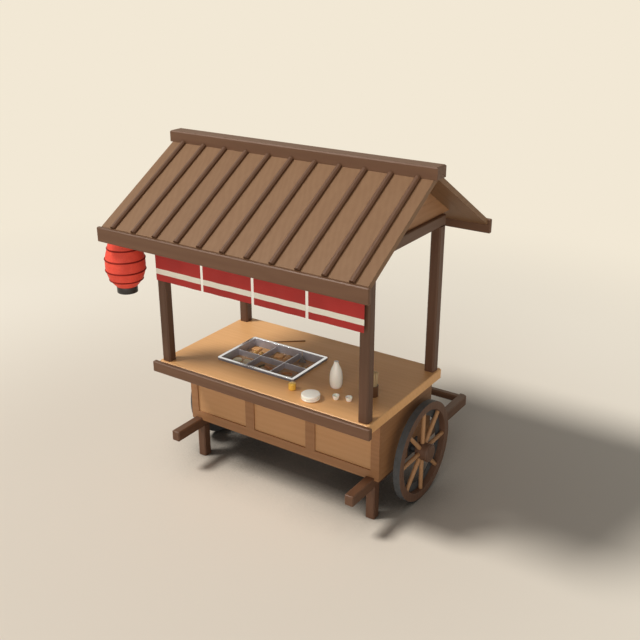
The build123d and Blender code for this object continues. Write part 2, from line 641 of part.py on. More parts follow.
def cell_centre(column, row):
    """Middle of one compartment; columns count from the left, rows from the customers' side."""
    x = PAN_CENTRE_X + (column - (PAN_COLUMNS - 1) / 2) * (CELL_X + PAN_DIVIDER)
    y = PAN_CENTRE_Y + (row - (PAN_ROWS - 1) / 2) * (CELL_Y + PAN_DIVIDER)
    return x, y


def make_pan():
    well = Box(PAN_LENGTH, PAN_DEPTH, PAN_HEIGHT, align=BELOW)
    rim = Box(PAN_LENGTH + 2 * PAN_RIM_WIDTH, PAN_DEPTH + 2 * PAN_RIM_WIDTH, PAN_RIM_HEIGHT, align=BELOW)
    rim = chamfer(rim.edges().filter_by(Axis.Z), PAN_RIM_CORNER)
    pan = Pos(PAN_CENTRE_X, PAN_CENTRE_Y, PAN_TOP_Z) * (well + rim)
    mouth = Box(PAN_LENGTH - 2 * PAN_SHEET, PAN_DEPTH - 2 * PAN_SHEET, 2 * DIVIDER_SETDOWN)
    pan -= Pos(PAN_CENTRE_X, PAN_CENTRE_Y, PAN_TOP_Z) * mouth
    for column in range(PAN_COLUMNS):
        for row in range(PAN_ROWS):
            x, y = cell_centre(column, row)
            pan -= Pos(x, y, PAN_FLOOR_Z) * Box(CELL_X, CELL_Y, PAN_HEIGHT, align=ON_TOP)
    parts["oden_pan"] = pan


def in_cells(places, shape):
    """Copies a piece of food onto the floors of the compartments, one copy for each place."""
    copies = []
    for column, row, share_x, share_y, turn in places:
        x, y = cell_centre(column, row)
        x += share_x * CELL_X / 2
        y += share_y * CELL_Y / 2
        copies.append(Pos(x, y, PAN_FLOOR_Z) * Rot(0, 0, turn) * shape)
    return Compound(copies)


def round_piece(diameter, length, sides):
    """A round of food with both ends eased."""
    r, a = diameter / 2, FOOD_ARRIS
    return few_sided([(0, r - a), (a, r), (length - a, r), (length, r - a)], sides)


def make_food():
    parts["daikon_slices"] = in_cells(DAIKON_PLACES, round_piece(DAIKON_DIAMETER, DAIKON_HEIGHT, DAIKON_SIDES))
    slab = softened(Box(SLAB_LENGTH, SLAB_WIDTH, SLAB_HEIGHT, align=ON_TOP), FOOD_ARRIS)
    parts["tofu_slabs"] = in_cells(TOFU_PLACES, slab)
    roll = Pos(0, 0, -ROLL_LENGTH / 2) * round_piece(ROLL_DIAMETER, ROLL_LENGTH, FOOD_SIDES)
    parts["fish_cake_rolls"] = in_cells(ROLL_PLACES, lying(roll, ROLL_DIAMETER))
    kelp = Pos(0, 0, -KELP_LENGTH / 2) * round_piece(KELP_DIAMETER, KELP_LENGTH, FOOD_SIDES)
    parts["kelp_rolls"] = in_cells(KELP_PLACES, lying(kelp, KELP_DIAMETER))

    flat, reach, full = BALL_FLAT_DIAMETER / 2, BALL_FACET_REACH, BALL_DIAMETER / 2
    lower = [(0, flat), (BALL_FACET_RISE, reach), (full - BALL_FACET_RISE, full)]
    upper = [(BALL_DIAMETER - z, radius) for z, radius in reversed(lower)]
    parts["fish_balls"] = in_cells(BALL_PLACES, few_sided(lower + upper, FOOD_SIDES))

    half, thick = KONNYAKU_SIDE / 2, KONNYAKU_THICKNESS / 2
    face = make_face(Polyline((-half, 0), (half, 0), (0, KONNYAKU_HEIGHT), close=True))
    block = extrude(Plane.XZ.offset(-thick) * face, KONNYAKU_THICKNESS)
    bore = Cylinder(SKEWER_DIAMETER / 2 + SKEWER_CLEARANCE, 3 * KONNYAKU_HEIGHT)
    skewer = Cylinder(SKEWER_DIAMETER / 2, SKEWER_LENGTH, align=ON_TOP)
    parts["konnyaku_triangle"] = in_cells([KONNYAKU_PLACE], block - bore)
    parts["bamboo_skewer"] = in_cells([KONNYAKU_PLACE], skewer)


# Tableware that stands on the counter

def on_counter(from_end, from_front, shape, turn=0.0):
    """Stands a piece on the counter, placed from its right end and its front edge."""
    return Pos(COUNTER_LENGTH / 2 - from_end, COUNTER_FRONT_Y + from_front, COUNTER_TOP_Z) * Rot(0, 0, turn) * shape


def open_cup(top, foot, height, wall):
    """A straight-sided cup with a flat foot and an even wall."""
    outer, base = top / 2, foot / 2
    lean = (outer - base) / (height - wall)
    hollow = few_sided([(wall, base - wall), (height + wall, outer - wall + lean * wall)], TABLEWARE_SIDES)
    return few_sided([(0, base), (height, outer)], TABLEWARE_SIDES) - hollow


def make_tableware():
    r = JAR_DIAMETER / 2
    jar = few_sided([(0, r - JAR_ARRIS), (JAR_ARRIS, r), (JAR_HEIGHT - JAR_ARRIS, r), (JAR_HEIGHT, r - JAR_ARRIS)],
                    TABLEWARE_SIDES)
    parts["mustard_jar"] = on_counter(JAR_FROM_END, JAR_FROM_FRONT, jar)

    dish = few_sided([(0, DISH_FOOT_DIAMETER / 2), (DISH_WAIST_Z, DISH_WAIST_DIAMETER / 2),
                      (DISH_HEIGHT, DISH_DIAMETER / 2)], DISH_SIDES)
    lid = few_sided([(0, DISH_DIAMETER / 2), (LID_SHOULDER_Z, LID_SHOULDER_DIAMETER / 2),
                     (LID_HEIGHT, LID_TOP_DIAMETER / 2)], DISH_SIDES)
    parts["covered_dish"] = on_counter(DISH_FROM_END, DISH_FROM_FRONT, dish)
    parts["dish_lid"] = on_counter(DISH_FROM_END, DISH_FROM_FRONT, Pos(0, 0, DISH_HEIGHT) * lid)

    bottle = few_sided([(0, BOTTLE_FOOT_DIAMETER / 2), (BOTTLE_HEEL_Z, BOTTLE_HEEL_DIAMETER / 2),
                        (BOTTLE_BELLY_Z, BOTTLE_BELLY_DIAMETER / 2), (BOTTLE_UPPER_Z, BOTTLE_UPPER_DIAMETER / 2),
                        (BOTTLE_SHOULDER_Z, BOTTLE_SHOULDER_DIAMETER / 2), (BOTTLE_NECK_Z, BOTTLE_NECK_DIAMETER / 2),
                        (BOTTLE_HEIGHT, BOTTLE_LIP_DIAMETER / 2)], TABLEWARE_SIDES)
    mouth = BOTTLE_MOUTH_DIAMETER / 2
    bottle -= few_sided([(BOTTLE_HEIGHT - BOTTLE_MOUTH_DEPTH, mouth), (BOTTLE_HEIGHT + mouth, mouth)],
                        TABLEWARE_SIDES)
    parts["sake_bottle"] = on_counter(BOTTLE_FROM_END, BOTTLE_FROM_FRONT, bottle)

    cup = open_cup(CUP_DIAMETER, CUP_FOOT_DIAMETER, CUP_HEIGHT, CUP_WALL)
    parts["sake_cups"] = Compound([on_counter(x, y, cup) for x, y in zip(CUPS_FROM_END, CUPS_FROM_FRONT)])

    holder = open_cup(HOLDER_DIAMETER, HOLDER_DIAMETER, HOLDER_HEIGHT, HOLDER_WALL)
    parts["chopstick_holder"] = on_counter(HOLDER_FROM_END, HOLDER_FROM_FRONT, holder)
    stick = few_sided([(HOLDER_WALL, CHOPSTICK_TIP_DIAMETER / 2),
                       (HOLDER_WALL + CHOPSTICK_LENGTH, CHOPSTICK_DIAMETER / 2)], CHOPSTICK_SIDES)
    row = [Pos((index - (CHOPSTICK_COUNT - 1) / 2) * CHOPSTICK_PITCH, 0, 0) * stick
           for index in range(CHOPSTICK_COUNT)]
    parts["chopsticks"] = Compound([on_counter(HOLDER_FROM_END, HOLDER_FROM_FRONT, piece, CHOPSTICK_ROW_TURN)
                                    for piece in row])

    radius, reach = COOKING_STICK_DIAMETER / 2, COOKING_STICK_LENGTH / 2
    rod = lying(few_sided([(-reach, radius), (reach, radius)], CHOPSTICK_SIDES), COOKING_STICK_DIAMETER)
    step = (COOKING_STICK_DIAMETER + COOKING_STICK_GAP) / 2
    parts["cooking_chopsticks"] = Compound([
        on_counter(COOKING_STICKS_FROM_END, COOKING_STICKS_FROM_FRONT, Pos(0, side * step, 0) * rod,
                   COOKING_STICKS_TURN) for side in (-1, 1)])


make_counter()
make_body()
make_posts()
make_roof()
make_noren()
peg_height = make_lantern()
make_chassis()
for side, sign in (("left", -1), ("right", 1)):
    wheel_plane = make_wheel(side, sign)
make_pan()
make_food()
make_tableware()

to_footprint = Pos(-FOOTPRINT_X, -FOOTPRINT_Y, 0)
os.makedirs("parts", exist_ok=True)
for name, shape in parts.items():
    placed = to_footprint * shape
    placed.label = name
    export_step(placed, f"parts/{name}.step")
print(len(parts), "nodes; origin moved by", -FOOTPRINT_X, -FOOTPRINT_Y)
print("lantern peg", LANTERN_X - FOOTPRINT_X, LANTERN_Y - FOOTPRINT_Y, peg_height)
print("wheel axis", wheel_plane - FOOTPRINT_X, -wheel_plane - FOOTPRINT_X, WHEEL_Y - FOOTPRINT_Y, WHEEL_RADIUS)
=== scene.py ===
"""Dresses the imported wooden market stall: timber, cloth, paper lantern, wheels, food and tableware.

Everything is in metres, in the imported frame: +X to the stall's right as a customer sees it,
+Y towards the cook, +Z up, with the origin on the ground in the middle of the footprint.
"""
import logging
import math
from dataclasses import dataclass, field
from enum import Enum
from typing import Callable, Iterable, Sequence, Union

import bpy
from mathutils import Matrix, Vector


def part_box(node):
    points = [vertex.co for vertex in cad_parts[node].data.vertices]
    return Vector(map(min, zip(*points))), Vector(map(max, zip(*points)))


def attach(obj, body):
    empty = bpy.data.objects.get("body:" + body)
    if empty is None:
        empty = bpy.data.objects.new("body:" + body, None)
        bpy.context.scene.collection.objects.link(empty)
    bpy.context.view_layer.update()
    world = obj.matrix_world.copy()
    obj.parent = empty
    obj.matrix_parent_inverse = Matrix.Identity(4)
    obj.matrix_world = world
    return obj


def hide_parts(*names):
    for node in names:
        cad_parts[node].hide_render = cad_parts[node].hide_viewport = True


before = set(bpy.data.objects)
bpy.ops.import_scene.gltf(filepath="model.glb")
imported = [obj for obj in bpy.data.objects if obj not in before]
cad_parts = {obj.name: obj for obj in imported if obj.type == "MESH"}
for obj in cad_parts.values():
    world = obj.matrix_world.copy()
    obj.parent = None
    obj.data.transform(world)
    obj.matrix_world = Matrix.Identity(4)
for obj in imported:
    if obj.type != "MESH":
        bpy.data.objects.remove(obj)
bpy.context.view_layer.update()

Colour = tuple[float, float, float]
Outline = list[tuple[float, float]]
STALL = "stall"
LANTERN = "lantern"
MERGE_DISTANCE = 0.00001
log = logging.getLogger("stall")


def middle(node: str) -> Vector:
    """Middle of a node's box."""
    low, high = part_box(node)
    return (low + high) / 2


def mixed(a: float, b: float, share: float) -> float:
    """A number part of the way from a to b."""
    return a + (b - a) * share


# Shader maths

class Value:
    """A number that varies over a surface; Python maths on it adds Math nodes."""

    def __init__(self, graph: "Graph", socket: bpy.types.NodeSocket) -> None:
        """Wraps one output socket of a graph."""
        self.graph = graph
        self.socket = socket

    def __add__(self, other: "Term") -> "Value":
        """Sum."""
        return self.graph.maths("ADD", self, other)

    def __sub__(self, other: "Term") -> "Value":
        """Difference."""
        return self.graph.maths("SUBTRACT", self, other)

    def __rsub__(self, other: "Term") -> "Value":
        """Difference from a plain number."""
        return self.graph.maths("SUBTRACT", other, self)

    def __mul__(self, other: "Term") -> "Value":
        """Product."""
        return self.graph.maths("MULTIPLY", self, other)

    def __truediv__(self, other: "Term") -> "Value":
        """Quotient."""
        return self.graph.maths("DIVIDE", self, other)

    def floor(self) -> "Value":
        """Whole part."""
        return self.graph.maths("FLOOR", self)

    def fraction(self) -> "Value":
        """Part after the point."""
        return self.graph.maths("FRACT", self)

    def absolute(self) -> "Value":
        """Size without its sign."""
        return self.graph.maths("ABSOLUTE", self)

    def sine(self) -> "Value":
        """Sine of an angle in radians."""
        return self.graph.maths("SINE", self)

    def root(self) -> "Value":
        """Square root."""
        return self.graph.maths("SQRT", self)

    def at_least(self, other: "Term") -> "Value":
        """The larger of two values."""
        return self.graph.maths("MAXIMUM", self, other)

    def step(self, low: float, high: float) -> "Value":
        """Rises smoothly from 0 to 1 between low and high, or falls where low is the larger."""
        node = self.graph.node("ShaderNodeMapRange", {"interpolation_type": "SMOOTHSTEP"},
                               {"Value": self, "From Min": low, "From Max": high})
        return Value(self.graph, node.outputs[0])


Term = Union[Value, float, int]
Link = Union[Value, bpy.types.NodeSocket, float, int, Sequence[float]]


class Graph:
    """The node tree of one material, lamp or world."""

    def __init__(self, holder: bpy.types.ID) -> None:
        """Starts an empty tree.

        Args:
            holder: The material, lamp or world that the tree belongs to.
        """
        holder.use_nodes = True
        self.holder = holder
        self.tree = holder.node_tree
        self.tree.nodes.clear()

    def node(self, kind: str, settings: dict[str, object], inputs: dict[object, Link]) -> bpy.types.Node:
        """Adds one node.

        Args:
            kind: The node's type name.
            settings: Its own settings, set before its inputs.
            inputs: Values or links by socket name or number.

        Returns:
            The node.
        """
        made = self.tree.nodes.new(kind)
        for name, setting in settings.items():
            setattr(made, name, setting)
        for key, given in inputs.items():
            socket = made.inputs[key]
            if isinstance(given, Value):
                self.tree.links.new(given.socket, socket)
            elif isinstance(given, bpy.types.NodeSocket):
                self.tree.links.new(given, socket)
            elif isinstance(given, (float, int)):
                socket.default_value = given
            else:
                plain = tuple(given)
                socket.default_value = (*plain, 1.0) if socket.type == "RGBA" else plain
        return made

    def maths(self, operation: str, *terms: Term) -> Value:
        """Adds a Math node on one or two values."""
        node = self.node("ShaderNodeMath", {"operation": operation}, dict(enumerate(terms)))
        return Value(self, node.outputs[0])

    def place(self) -> tuple[Value, Value, Value]:
        """The three Object coordinates, in metres."""
        point = self.node("ShaderNodeTexCoord", {}, {})
        split = self.node("ShaderNodeSeparateXYZ", {}, {0: point.outputs["Object"]})
        return tuple(Value(self, out) for out in split.outputs)

    def joined(self, x: Term, y: Term, z: Term) -> bpy.types.NodeSocket:
        """A vector from three values."""
        return self.node("ShaderNodeCombineXYZ", {}, {0: x, 1: y, 2: z}).outputs[0]

    def noise(self, vector: bpy.types.NodeSocket, scale: float, detail: float = 3.0) -> Value:
        """Soft noise from 0 to 1."""
        node = self.node("ShaderNodeTexNoise", {}, {"Vector": vector, "Scale": scale, "Detail": detail})
        return Value(self, node.outputs[0])

    def random(self, seed: Value) -> Value:
        """A random number from 0 to 1 for each whole seed."""
        node = self.node("ShaderNodeTexWhiteNoise", {"noise_dimensions": "1D"}, {"W": seed})
        return Value(self, node.outputs["Value"])

    def mix(self, share: Term, first: Link, second: Link) -> bpy.types.NodeSocket:
        """Mixes two colours.

        Args:
            share: How much of the second.
            first: A colour or link.
            second: A colour or link.

        Returns:
            The mixed colour's socket.
        """
        node = self.node("ShaderNodeMix", {"data_type": "RGBA"}, {0: share, 6: first, 7: second})
        return node.outputs[2]

    def rounded_normal(self, radius: float) -> tuple[bpy.types.NodeSocket, Value]:
        """A normal that is rounded at edges, and a mask of those edges."""
        bevel = self.node("ShaderNodeBevel", {"samples": 4}, {"Radius": radius})
        flat = self.node("ShaderNodeNewGeometry", {}, {})
        dot = self.node("ShaderNodeVectorMath", {"operation": "DOT_PRODUCT"},
                        {0: bevel.outputs[0], 1: flat.outputs["Normal"]})
        edge = Value(self, dot.outputs["Value"]).step(0.995, 0.90)
        return bevel.outputs[0], edge

    def bump(self, height: Value, distance: float,
             normal: bpy.types.NodeSocket | None = None) -> bpy.types.NodeSocket:
        """A normal bent by a height in metres of distance."""
        inputs = {"Height": height, "Distance": distance, "Strength": 1.0}
        if normal is not None:
            inputs["Normal"] = normal
        return self.node("ShaderNodeBump", {}, inputs).outputs[0]

    def finish(self, inputs: dict[object, Link]) -> bpy.types.Material:
        """Ends the tree with a Principled shader and returns the material."""
        shader = self.node("ShaderNodeBsdfPrincipled", {}, inputs)
        self.node("ShaderNodeOutputMaterial", {}, {0: shader.outputs[0]})
        return self.holder


# Finishes

class Run(Enum):
    """Which way a timber's grain runs: the order of the long, wide and thick directions."""

    ALONG_X = (0, 1, 2)
    ALONG_X_UPRIGHT = (0, 2, 1)
    ALONG_Y = (1, 0, 2)
    ALONG_Y_UPRIGHT = (1, 2, 0)
    ALONG_Z = (2, 0, 1)
    ALONG_Z_SIDE = (2, 1, 0)


@dataclass(frozen=True)
class Timber:
    """Stained or oiled timber with grain, a tone for each board, and edges painted a little paler as a
    painted highlight.
    """

    name: str
    light: Colour
    dark: Colour
    run: Run
    board: float = 0.0
    board_start: float = 0.0
    joint: float = 0.0
    roughness: float = 0.52
    contrast: float = 0.42
    edge: float = 0.0035
    edge_highlight: float = 0.22
    streaks: float = 26.0
    fibres: float = 260.0
    rings: float = 150.0
    relief: float = 0.00016
    patch_shade: float = 0.84
    patch_share: float = 0.22
    groove_shade: float = 0.30
    groove_share: float = 0.75
    groove_depth: float = 8.0
    edge_highlight_gain: float = 1.45
    edge_highlight_lift: float = 0.012

    def build(self) -> bpy.types.Material:
        """Makes the material."""
        graph = Graph(bpy.data.materials.new(self.name))
        axes = graph.place()
        along, wide, thick = (axes[index] for index in self.run.value)
        drift = graph.noise(graph.joined(along * 0.8, wide * 3.0, thick * 3.0), 1.3, 2.0)
        streak = graph.noise(graph.joined(along * 1.3, wide * self.streaks, thick * self.streaks), 1.0, 4.0)
        fibre = graph.noise(graph.joined(along * 9.0, wide * self.fibres, thick * self.fibres), 1.0, 2.0)
        rings = ((wide + thick * 0.7) * self.rings + drift * 22.0).sine() * 0.5 + 0.5
        grain = streak * 0.62 + rings * 0.16 + fibre * 0.22
        tone = (grain.step(0.30, 0.72) - 0.5) * self.contrast + 0.5
        height = grain * 0.7 + fibre * 0.3
        patchy = drift
        if self.board:
            place = (wide - self.board_start) / self.board
            patchy = drift * 0.4 + graph.random(place.floor() + 7.0) * 0.6
            groove = ((place.fraction() - 0.5).absolute() * -2.0 + 1.0).step(self.joint / self.board, 0.0)
            height = height - groove * self.groove_depth
        normal, edges = graph.rounded_normal(self.edge)
        colour = graph.mix(tone, self.dark, self.light)
        shade = tuple(c * self.patch_shade for c in self.dark)
        colour = graph.mix(patchy.step(0.75, 0.15) * self.patch_share, colour, shade)
        if self.board:
            deep = tuple(c * self.groove_shade for c in self.dark)
            colour = graph.mix(groove * self.groove_share, colour, deep)
        # Painted highlight: the rounded edges are painted paler than the wood, broken up by the streaks.
        pale = tuple(min(1.0, c * self.edge_highlight_gain + self.edge_highlight_lift) for c in self.light)
        colour = graph.mix(edges * self.edge_highlight * streak.step(0.25, 0.6), colour, pale)
        rough = (grain * -0.16 + (self.roughness + 0.10)).at_least(0.05)
        return graph.finish({"Base Color": colour, "Roughness": rough, "Specular IOR Level": 0.42,
                             "Normal": graph.bump(height, self.relief, normal)})


@dataclass(frozen=True)
class DyedCloth:
    """Plain weave cotton dyed in one colour, with an undyed band between two heights."""

    name: str
    dye: Colour
    band: Colour
    band_low: float
    band_high: float
    thread: float = 0.0011
    bleed: float = 0.0012
    band_edge: float = 0.0008
    faded: float = 0.72
    slub_shade: float = 0.84
    relief: float = 0.00025

    def build(self) -> bpy.types.Material:
        """Makes the material."""
        graph = Graph(bpy.data.materials.new(self.name))
        across, deep, up = graph.place()
        wobble = graph.noise(graph.joined(across * 1.0, deep * 1.0, up * 0.2), 60.0, 2.0) * self.bleed
        edge = up + wobble
        above = edge.step(self.band_low, self.band_low + self.band_edge)
        below = edge.step(self.band_high + self.band_edge, self.band_high)
        turn = 2 * math.pi / self.thread
        weave = (across * turn).sine() * (up * turn).sine()
        slub = graph.noise(graph.joined(across * 12.0, deep * 12.0, up * 160.0), 1.0, 2.0)
        fade = graph.noise(graph.joined(across * 2.0, deep * 2.0, up * 2.0), 2.0, 3.0)
        deep_dye = tuple(c * self.faded for c in self.dye)
        colour = graph.mix(fade.step(0.3, 0.7) * 0.55 + slub * 0.18, self.dye, deep_dye)
        dull = tuple(c * self.slub_shade for c in self.band)
        cream = graph.mix(slub.step(0.35, 0.75) * 0.35, self.band, dull)
        colour = graph.mix(above * below, colour, cream)
        return graph.finish({"Base Color": colour, "Roughness": slub * 0.1 + 0.78, "Sheen Weight": 0.25,
                             "Specular IOR Level": 0.2,
                             "Normal": graph.bump(weave * 0.5 + slub * 0.6, self.relief)})


@dataclass(frozen=True)
class Plain:
    """A finish of one colour that varies gently: glaze, lacquer, rubber, paper or food."""

    name: str
    light: Colour
    dark: Colour
    roughness: float
    scale: float = 30.0
    mottle: float = 0.5
    bump: float = 0.0
    coat: float = 0.0
    subsurface: float = 0.0
    metallic: float = 0.0
    edge: float = 0.0
    specular: float = 0.5

    def build(self) -> bpy.types.Material:
        """Makes the material."""
        graph = Graph(bpy.data.materials.new(self.name))
        x, y, z = graph.place()
        soft = graph.noise(graph.joined(x, y, z), self.scale, 3.0)
        fine = graph.noise(graph.joined(x, y, z), self.scale * 7.0, 2.0)
        pattern = soft * 0.65 + fine * 0.35
        colour = graph.mix(pattern.step(0.32, 0.68) * self.mottle, self.light, self.dark)
        inputs: dict[object, Link] = {
            "Base Color": colour, "Roughness": pattern * 0.14 + (self.roughness - 0.07),
            "Coat Weight": self.coat, "Metallic": self.metallic, "Subsurface Weight": self.subsurface,
            "Subsurface Scale": 0.01, "Specular IOR Level": self.specular}
        normal = graph.rounded_normal(self.edge)[0] if self.edge else None
        if self.bump:
            inputs["Normal"] = graph.bump(pattern, self.bump, normal)
        elif normal is not None:
            inputs["Normal"] = normal
        return graph.finish(inputs)


@dataclass(frozen=True)
class BrushedSteel:
    """Sheet steel: upward faces painted as a bright rolled rim, a painted highlight; outer sides painted
    dull as painted shade; satin walls inside.
    """

    name: str
    # rim is the painted highlight colour for faces that look up; side is the painted shade colour for the
    # outer sides.
    rim: Colour
    side: Colour
    inside: Colour
    centre: tuple[float, float]
    half: tuple[float, float]
    rounding: float = 0.006
    brush_along: float = 20.0
    brush_across: float = 900.0
    sheet: tuple[float, float] = (-0.0022, -0.0006)
    stain: float = 0.72
    relief: float = 0.00006

    def build(self) -> bpy.types.Material:
        """Makes the material."""
        graph = Graph(bpy.data.materials.new(self.name))
        x, y, z = graph.place()
        across = self.brush_across
        brush = graph.noise(graph.joined(x * self.brush_along, y * across, z * across), 1.0, 2.0)
        smear = graph.noise(graph.joined(x, y, z), 22.0, 3.0)
        facing = graph.node("ShaderNodeNewGeometry", {}, {})
        split = graph.node("ShaderNodeSeparateXYZ", {}, {0: facing.outputs["Normal"]})
        # Painted highlight: faces that look up are painted the bright rim colour and made more metallic.
        top = Value(graph, split.outputs[2]).step(0.5, 0.9)
        past_x = (x - self.centre[0]).absolute() - self.half[0]
        past_y = (y - self.centre[1]).absolute() - self.half[1]
        outer = past_x.at_least(past_y).step(*self.sheet)
        colour = graph.mix(top, self.inside, self.rim)
        # Painted shade: the outer sides of the sheet are painted dark.
        colour = graph.mix((1.0 - top) * outer, colour, self.side)
        stained = tuple(c * self.stain for c in self.inside)
        colour = graph.mix((1.0 - top) * smear.step(0.40, 0.75) * 0.45, colour, stained)
        rough = brush * 0.12 + (1.0 - top) * 0.22 + 0.13
        normal = graph.rounded_normal(self.rounding)[0]
        return graph.finish({"Base Color": colour, "Roughness": rough, "Metallic": top * 0.55 + 0.45,
                             "Normal": graph.bump(brush, self.relief, normal)})


class Finish(Enum):
    """Every finish on the stall."""

    COUNTER = Timber("counter_wood", (0.84, 0.475, 0.207), (0.72, 0.382, 0.151), Run.ALONG_X, board=0.26,
                     board_start=0.03, joint=0.0008, roughness=0.46, contrast=0.34)
    # One dark timber in three tones, painted light and shade: brightest along X, darker crosswise, darkest
    # upright.
    DARK_X = Timber("dark_wood_lengthwise", (0.140, 0.067, 0.034), (0.098, 0.043, 0.020), Run.ALONG_X)
    DARK_Y = Timber("dark_wood_crosswise", (0.128, 0.060, 0.030), (0.088, 0.038, 0.018), Run.ALONG_Y)
    DARK_Z = Timber("dark_wood_upright", (0.116, 0.054, 0.028), (0.080, 0.034, 0.0165), Run.ALONG_Z)
    BODY_FRONT = Timber("body_wood_front", (0.325, 0.160, 0.069), (0.245, 0.112, 0.045), Run.ALONG_X_UPRIGHT)
    BODY_SIDE = Timber("body_wood_side", (0.335, 0.168, 0.074), (0.255, 0.120, 0.049), Run.ALONG_Y_UPRIGHT,
                       board=0.126, board_start=-0.01, joint=0.0015)
    BODY_BACK = Timber("body_wood_back", (0.325, 0.160, 0.069), (0.245, 0.112, 0.045), Run.ALONG_X_UPRIGHT,
                       board=0.126, board_start=0.33, joint=0.0015)
    PANEL = Timber("panel_wood", (0.49, 0.270, 0.125), (0.407, 0.211, 0.090), Run.ALONG_X_UPRIGHT,
                   contrast=0.34)
    ROOF = Timber("roof_boards", (0.225, 0.121, 0.056), (0.180, 0.090, 0.039), Run.ALONG_Y, board=0.1895,
                  board_start=0.0495, joint=0.003, roughness=0.58)
    GABLE = Timber("gable_boards", (0.40, 0.205, 0.095), (0.31, 0.150, 0.064), Run.ALONG_Y_UPRIGHT,
                   board=0.12, board_start=2.069, joint=0.0015)
    SPOKE = Timber("spoke_wood", (0.48, 0.265, 0.128), (0.38, 0.196, 0.088), Run.ALONG_Z_SIDE)
    RIM = Timber("rim_wood", (0.150, 0.078, 0.047), (0.098, 0.047, 0.027), Run.ALONG_Z_SIDE)
    CLOTH = DyedCloth("red_curtain_cloth", (0.47, 0.036, 0.031), (0.88, 0.85, 0.74), band_low=1.602,
                      band_high=1.642)
    PAPER = Plain("red_lantern_paper", (0.84, 0.088, 0.055), (0.66, 0.058, 0.037), 0.66, scale=14.0,
                  mottle=0.6, bump=0.0004, subsurface=0.15, specular=0.25)
    HOOP = Plain("dark_red_hoop", (0.24, 0.017, 0.011), (0.15, 0.011, 0.008), 0.75, specular=0.12)
    LACQUER = Plain("black_lacquer", (0.013, 0.011, 0.011), (0.026, 0.022, 0.020), 0.38, edge=0.002)
    WIRE = Plain("dark_wire", (0.13, 0.12, 0.11), (0.06, 0.055, 0.05), 0.45, metallic=1.0)
    IRON = Plain("dark_iron", (0.085, 0.086, 0.090), (0.045, 0.044, 0.045), 0.5, scale=40.0, mottle=0.6,
                 bump=0.0003, metallic=0.8, edge=0.002)
    TYRE = Plain("grey_tyre", (0.062, 0.066, 0.071), (0.040, 0.041, 0.042), 0.72, scale=25.0, mottle=0.7,
                 bump=0.0003, edge=0.003)
    # Painted highlight in the bluish rim colour, painted shade in the dark side colour.
    STEEL = BrushedSteel("pan_steel", (0.80, 0.87, 1.0), (0.19, 0.20, 0.24), (0.50, 0.48, 0.52),
                         centre=(-0.1625, -0.239), half=(0.345, 0.229))
    PORCELAIN = Plain("white_porcelain", (0.97, 0.94, 0.86), (0.93, 0.89, 0.80), 0.26, scale=60.0,
                      mottle=0.4, coat=0.3, subsurface=0.1)
    MUSTARD = Plain("yellow_glaze", (0.86, 0.53, 0.075), (0.72, 0.38, 0.04), 0.28, scale=70.0, coat=0.4)
    BROWN_GLAZE = Plain("brown_glaze", (0.115, 0.050, 0.022), (0.065, 0.028, 0.012), 0.3, scale=60.0,
                        mottle=0.6, coat=0.4)
    BAMBOO = Timber("pale_bamboo", (0.66, 0.50, 0.29), (0.54, 0.39, 0.21), Run.ALONG_Z, edge=0.0008)
    SMOKED_BAMBOO = Timber("smoked_bamboo", (0.26, 0.115, 0.036), (0.17, 0.07, 0.02), Run.ALONG_X,
                           edge=0.0008)
    RADISH = Plain("simmered_radish", (0.88, 0.81, 0.58), (0.80, 0.69, 0.44), 0.35, scale=60.0, mottle=0.6,
                   bump=0.0008, subsurface=0.2)
    TOFU = Plain("fried_tofu", (0.78, 0.45, 0.19), (0.62, 0.30, 0.11), 0.5, scale=75.0, mottle=0.8,
                 bump=0.0015)
    FISH_CAKE = Plain("browned_fish_cake", (0.60, 0.27, 0.10), (0.38, 0.145, 0.05), 0.42, scale=60.0,
                      mottle=0.8, bump=0.001)
    FISH_BALL = Plain("golden_fish_ball", (0.76, 0.47, 0.15), (0.58, 0.30, 0.08), 0.4, scale=60.0,
                      mottle=0.7, bump=0.001)
    KELP = Plain("dark_kelp", (0.16, 0.125, 0.045), (0.08, 0.06, 0.022), 0.3, scale=90.0, mottle=0.8,
                 bump=0.0015, coat=0.2)
    KONNYAKU = Plain("grey_konnyaku", (0.20, 0.185, 0.17), (0.11, 0.10, 0.09), 0.3, scale=160.0, mottle=0.9,
                     bump=0.0006)
    BROTH = Plain("amber_broth", (0.50, 0.30, 0.135), (0.40, 0.225, 0.092), 0.16, scale=12.0, bump=0.0004,
                  coat=0.3)


class Palette:
    """Builds each finish once, when it is first asked for."""

    def __init__(self) -> None:
        """Starts with nothing mixed."""
        self.made: dict[Finish, bpy.types.Material] = {}

    def of(self, finish: Finish) -> bpy.types.Material:
        """The material of a finish."""
        if finish not in self.made:
            self.made[finish] = finish.value.build()
        return self.made[finish]

    def dress(self, finish: Finish, *nodes: str) -> None:
        """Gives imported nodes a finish."""
        for node in nodes:
            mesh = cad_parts[node].data
            mesh.materials.clear()
            mesh.materials.append(self.of(finish))
            log.info("dressed %s as %s", node, finish.value.name)

    def coat(self, piece: bpy.types.Object, finish: Finish) -> bpy.types.Object:
        """Gives a new piece a finish."""
        piece.data.materials.clear()
        piece.data.materials.append(self.of(finish))
        return piece


# Modelling helpers

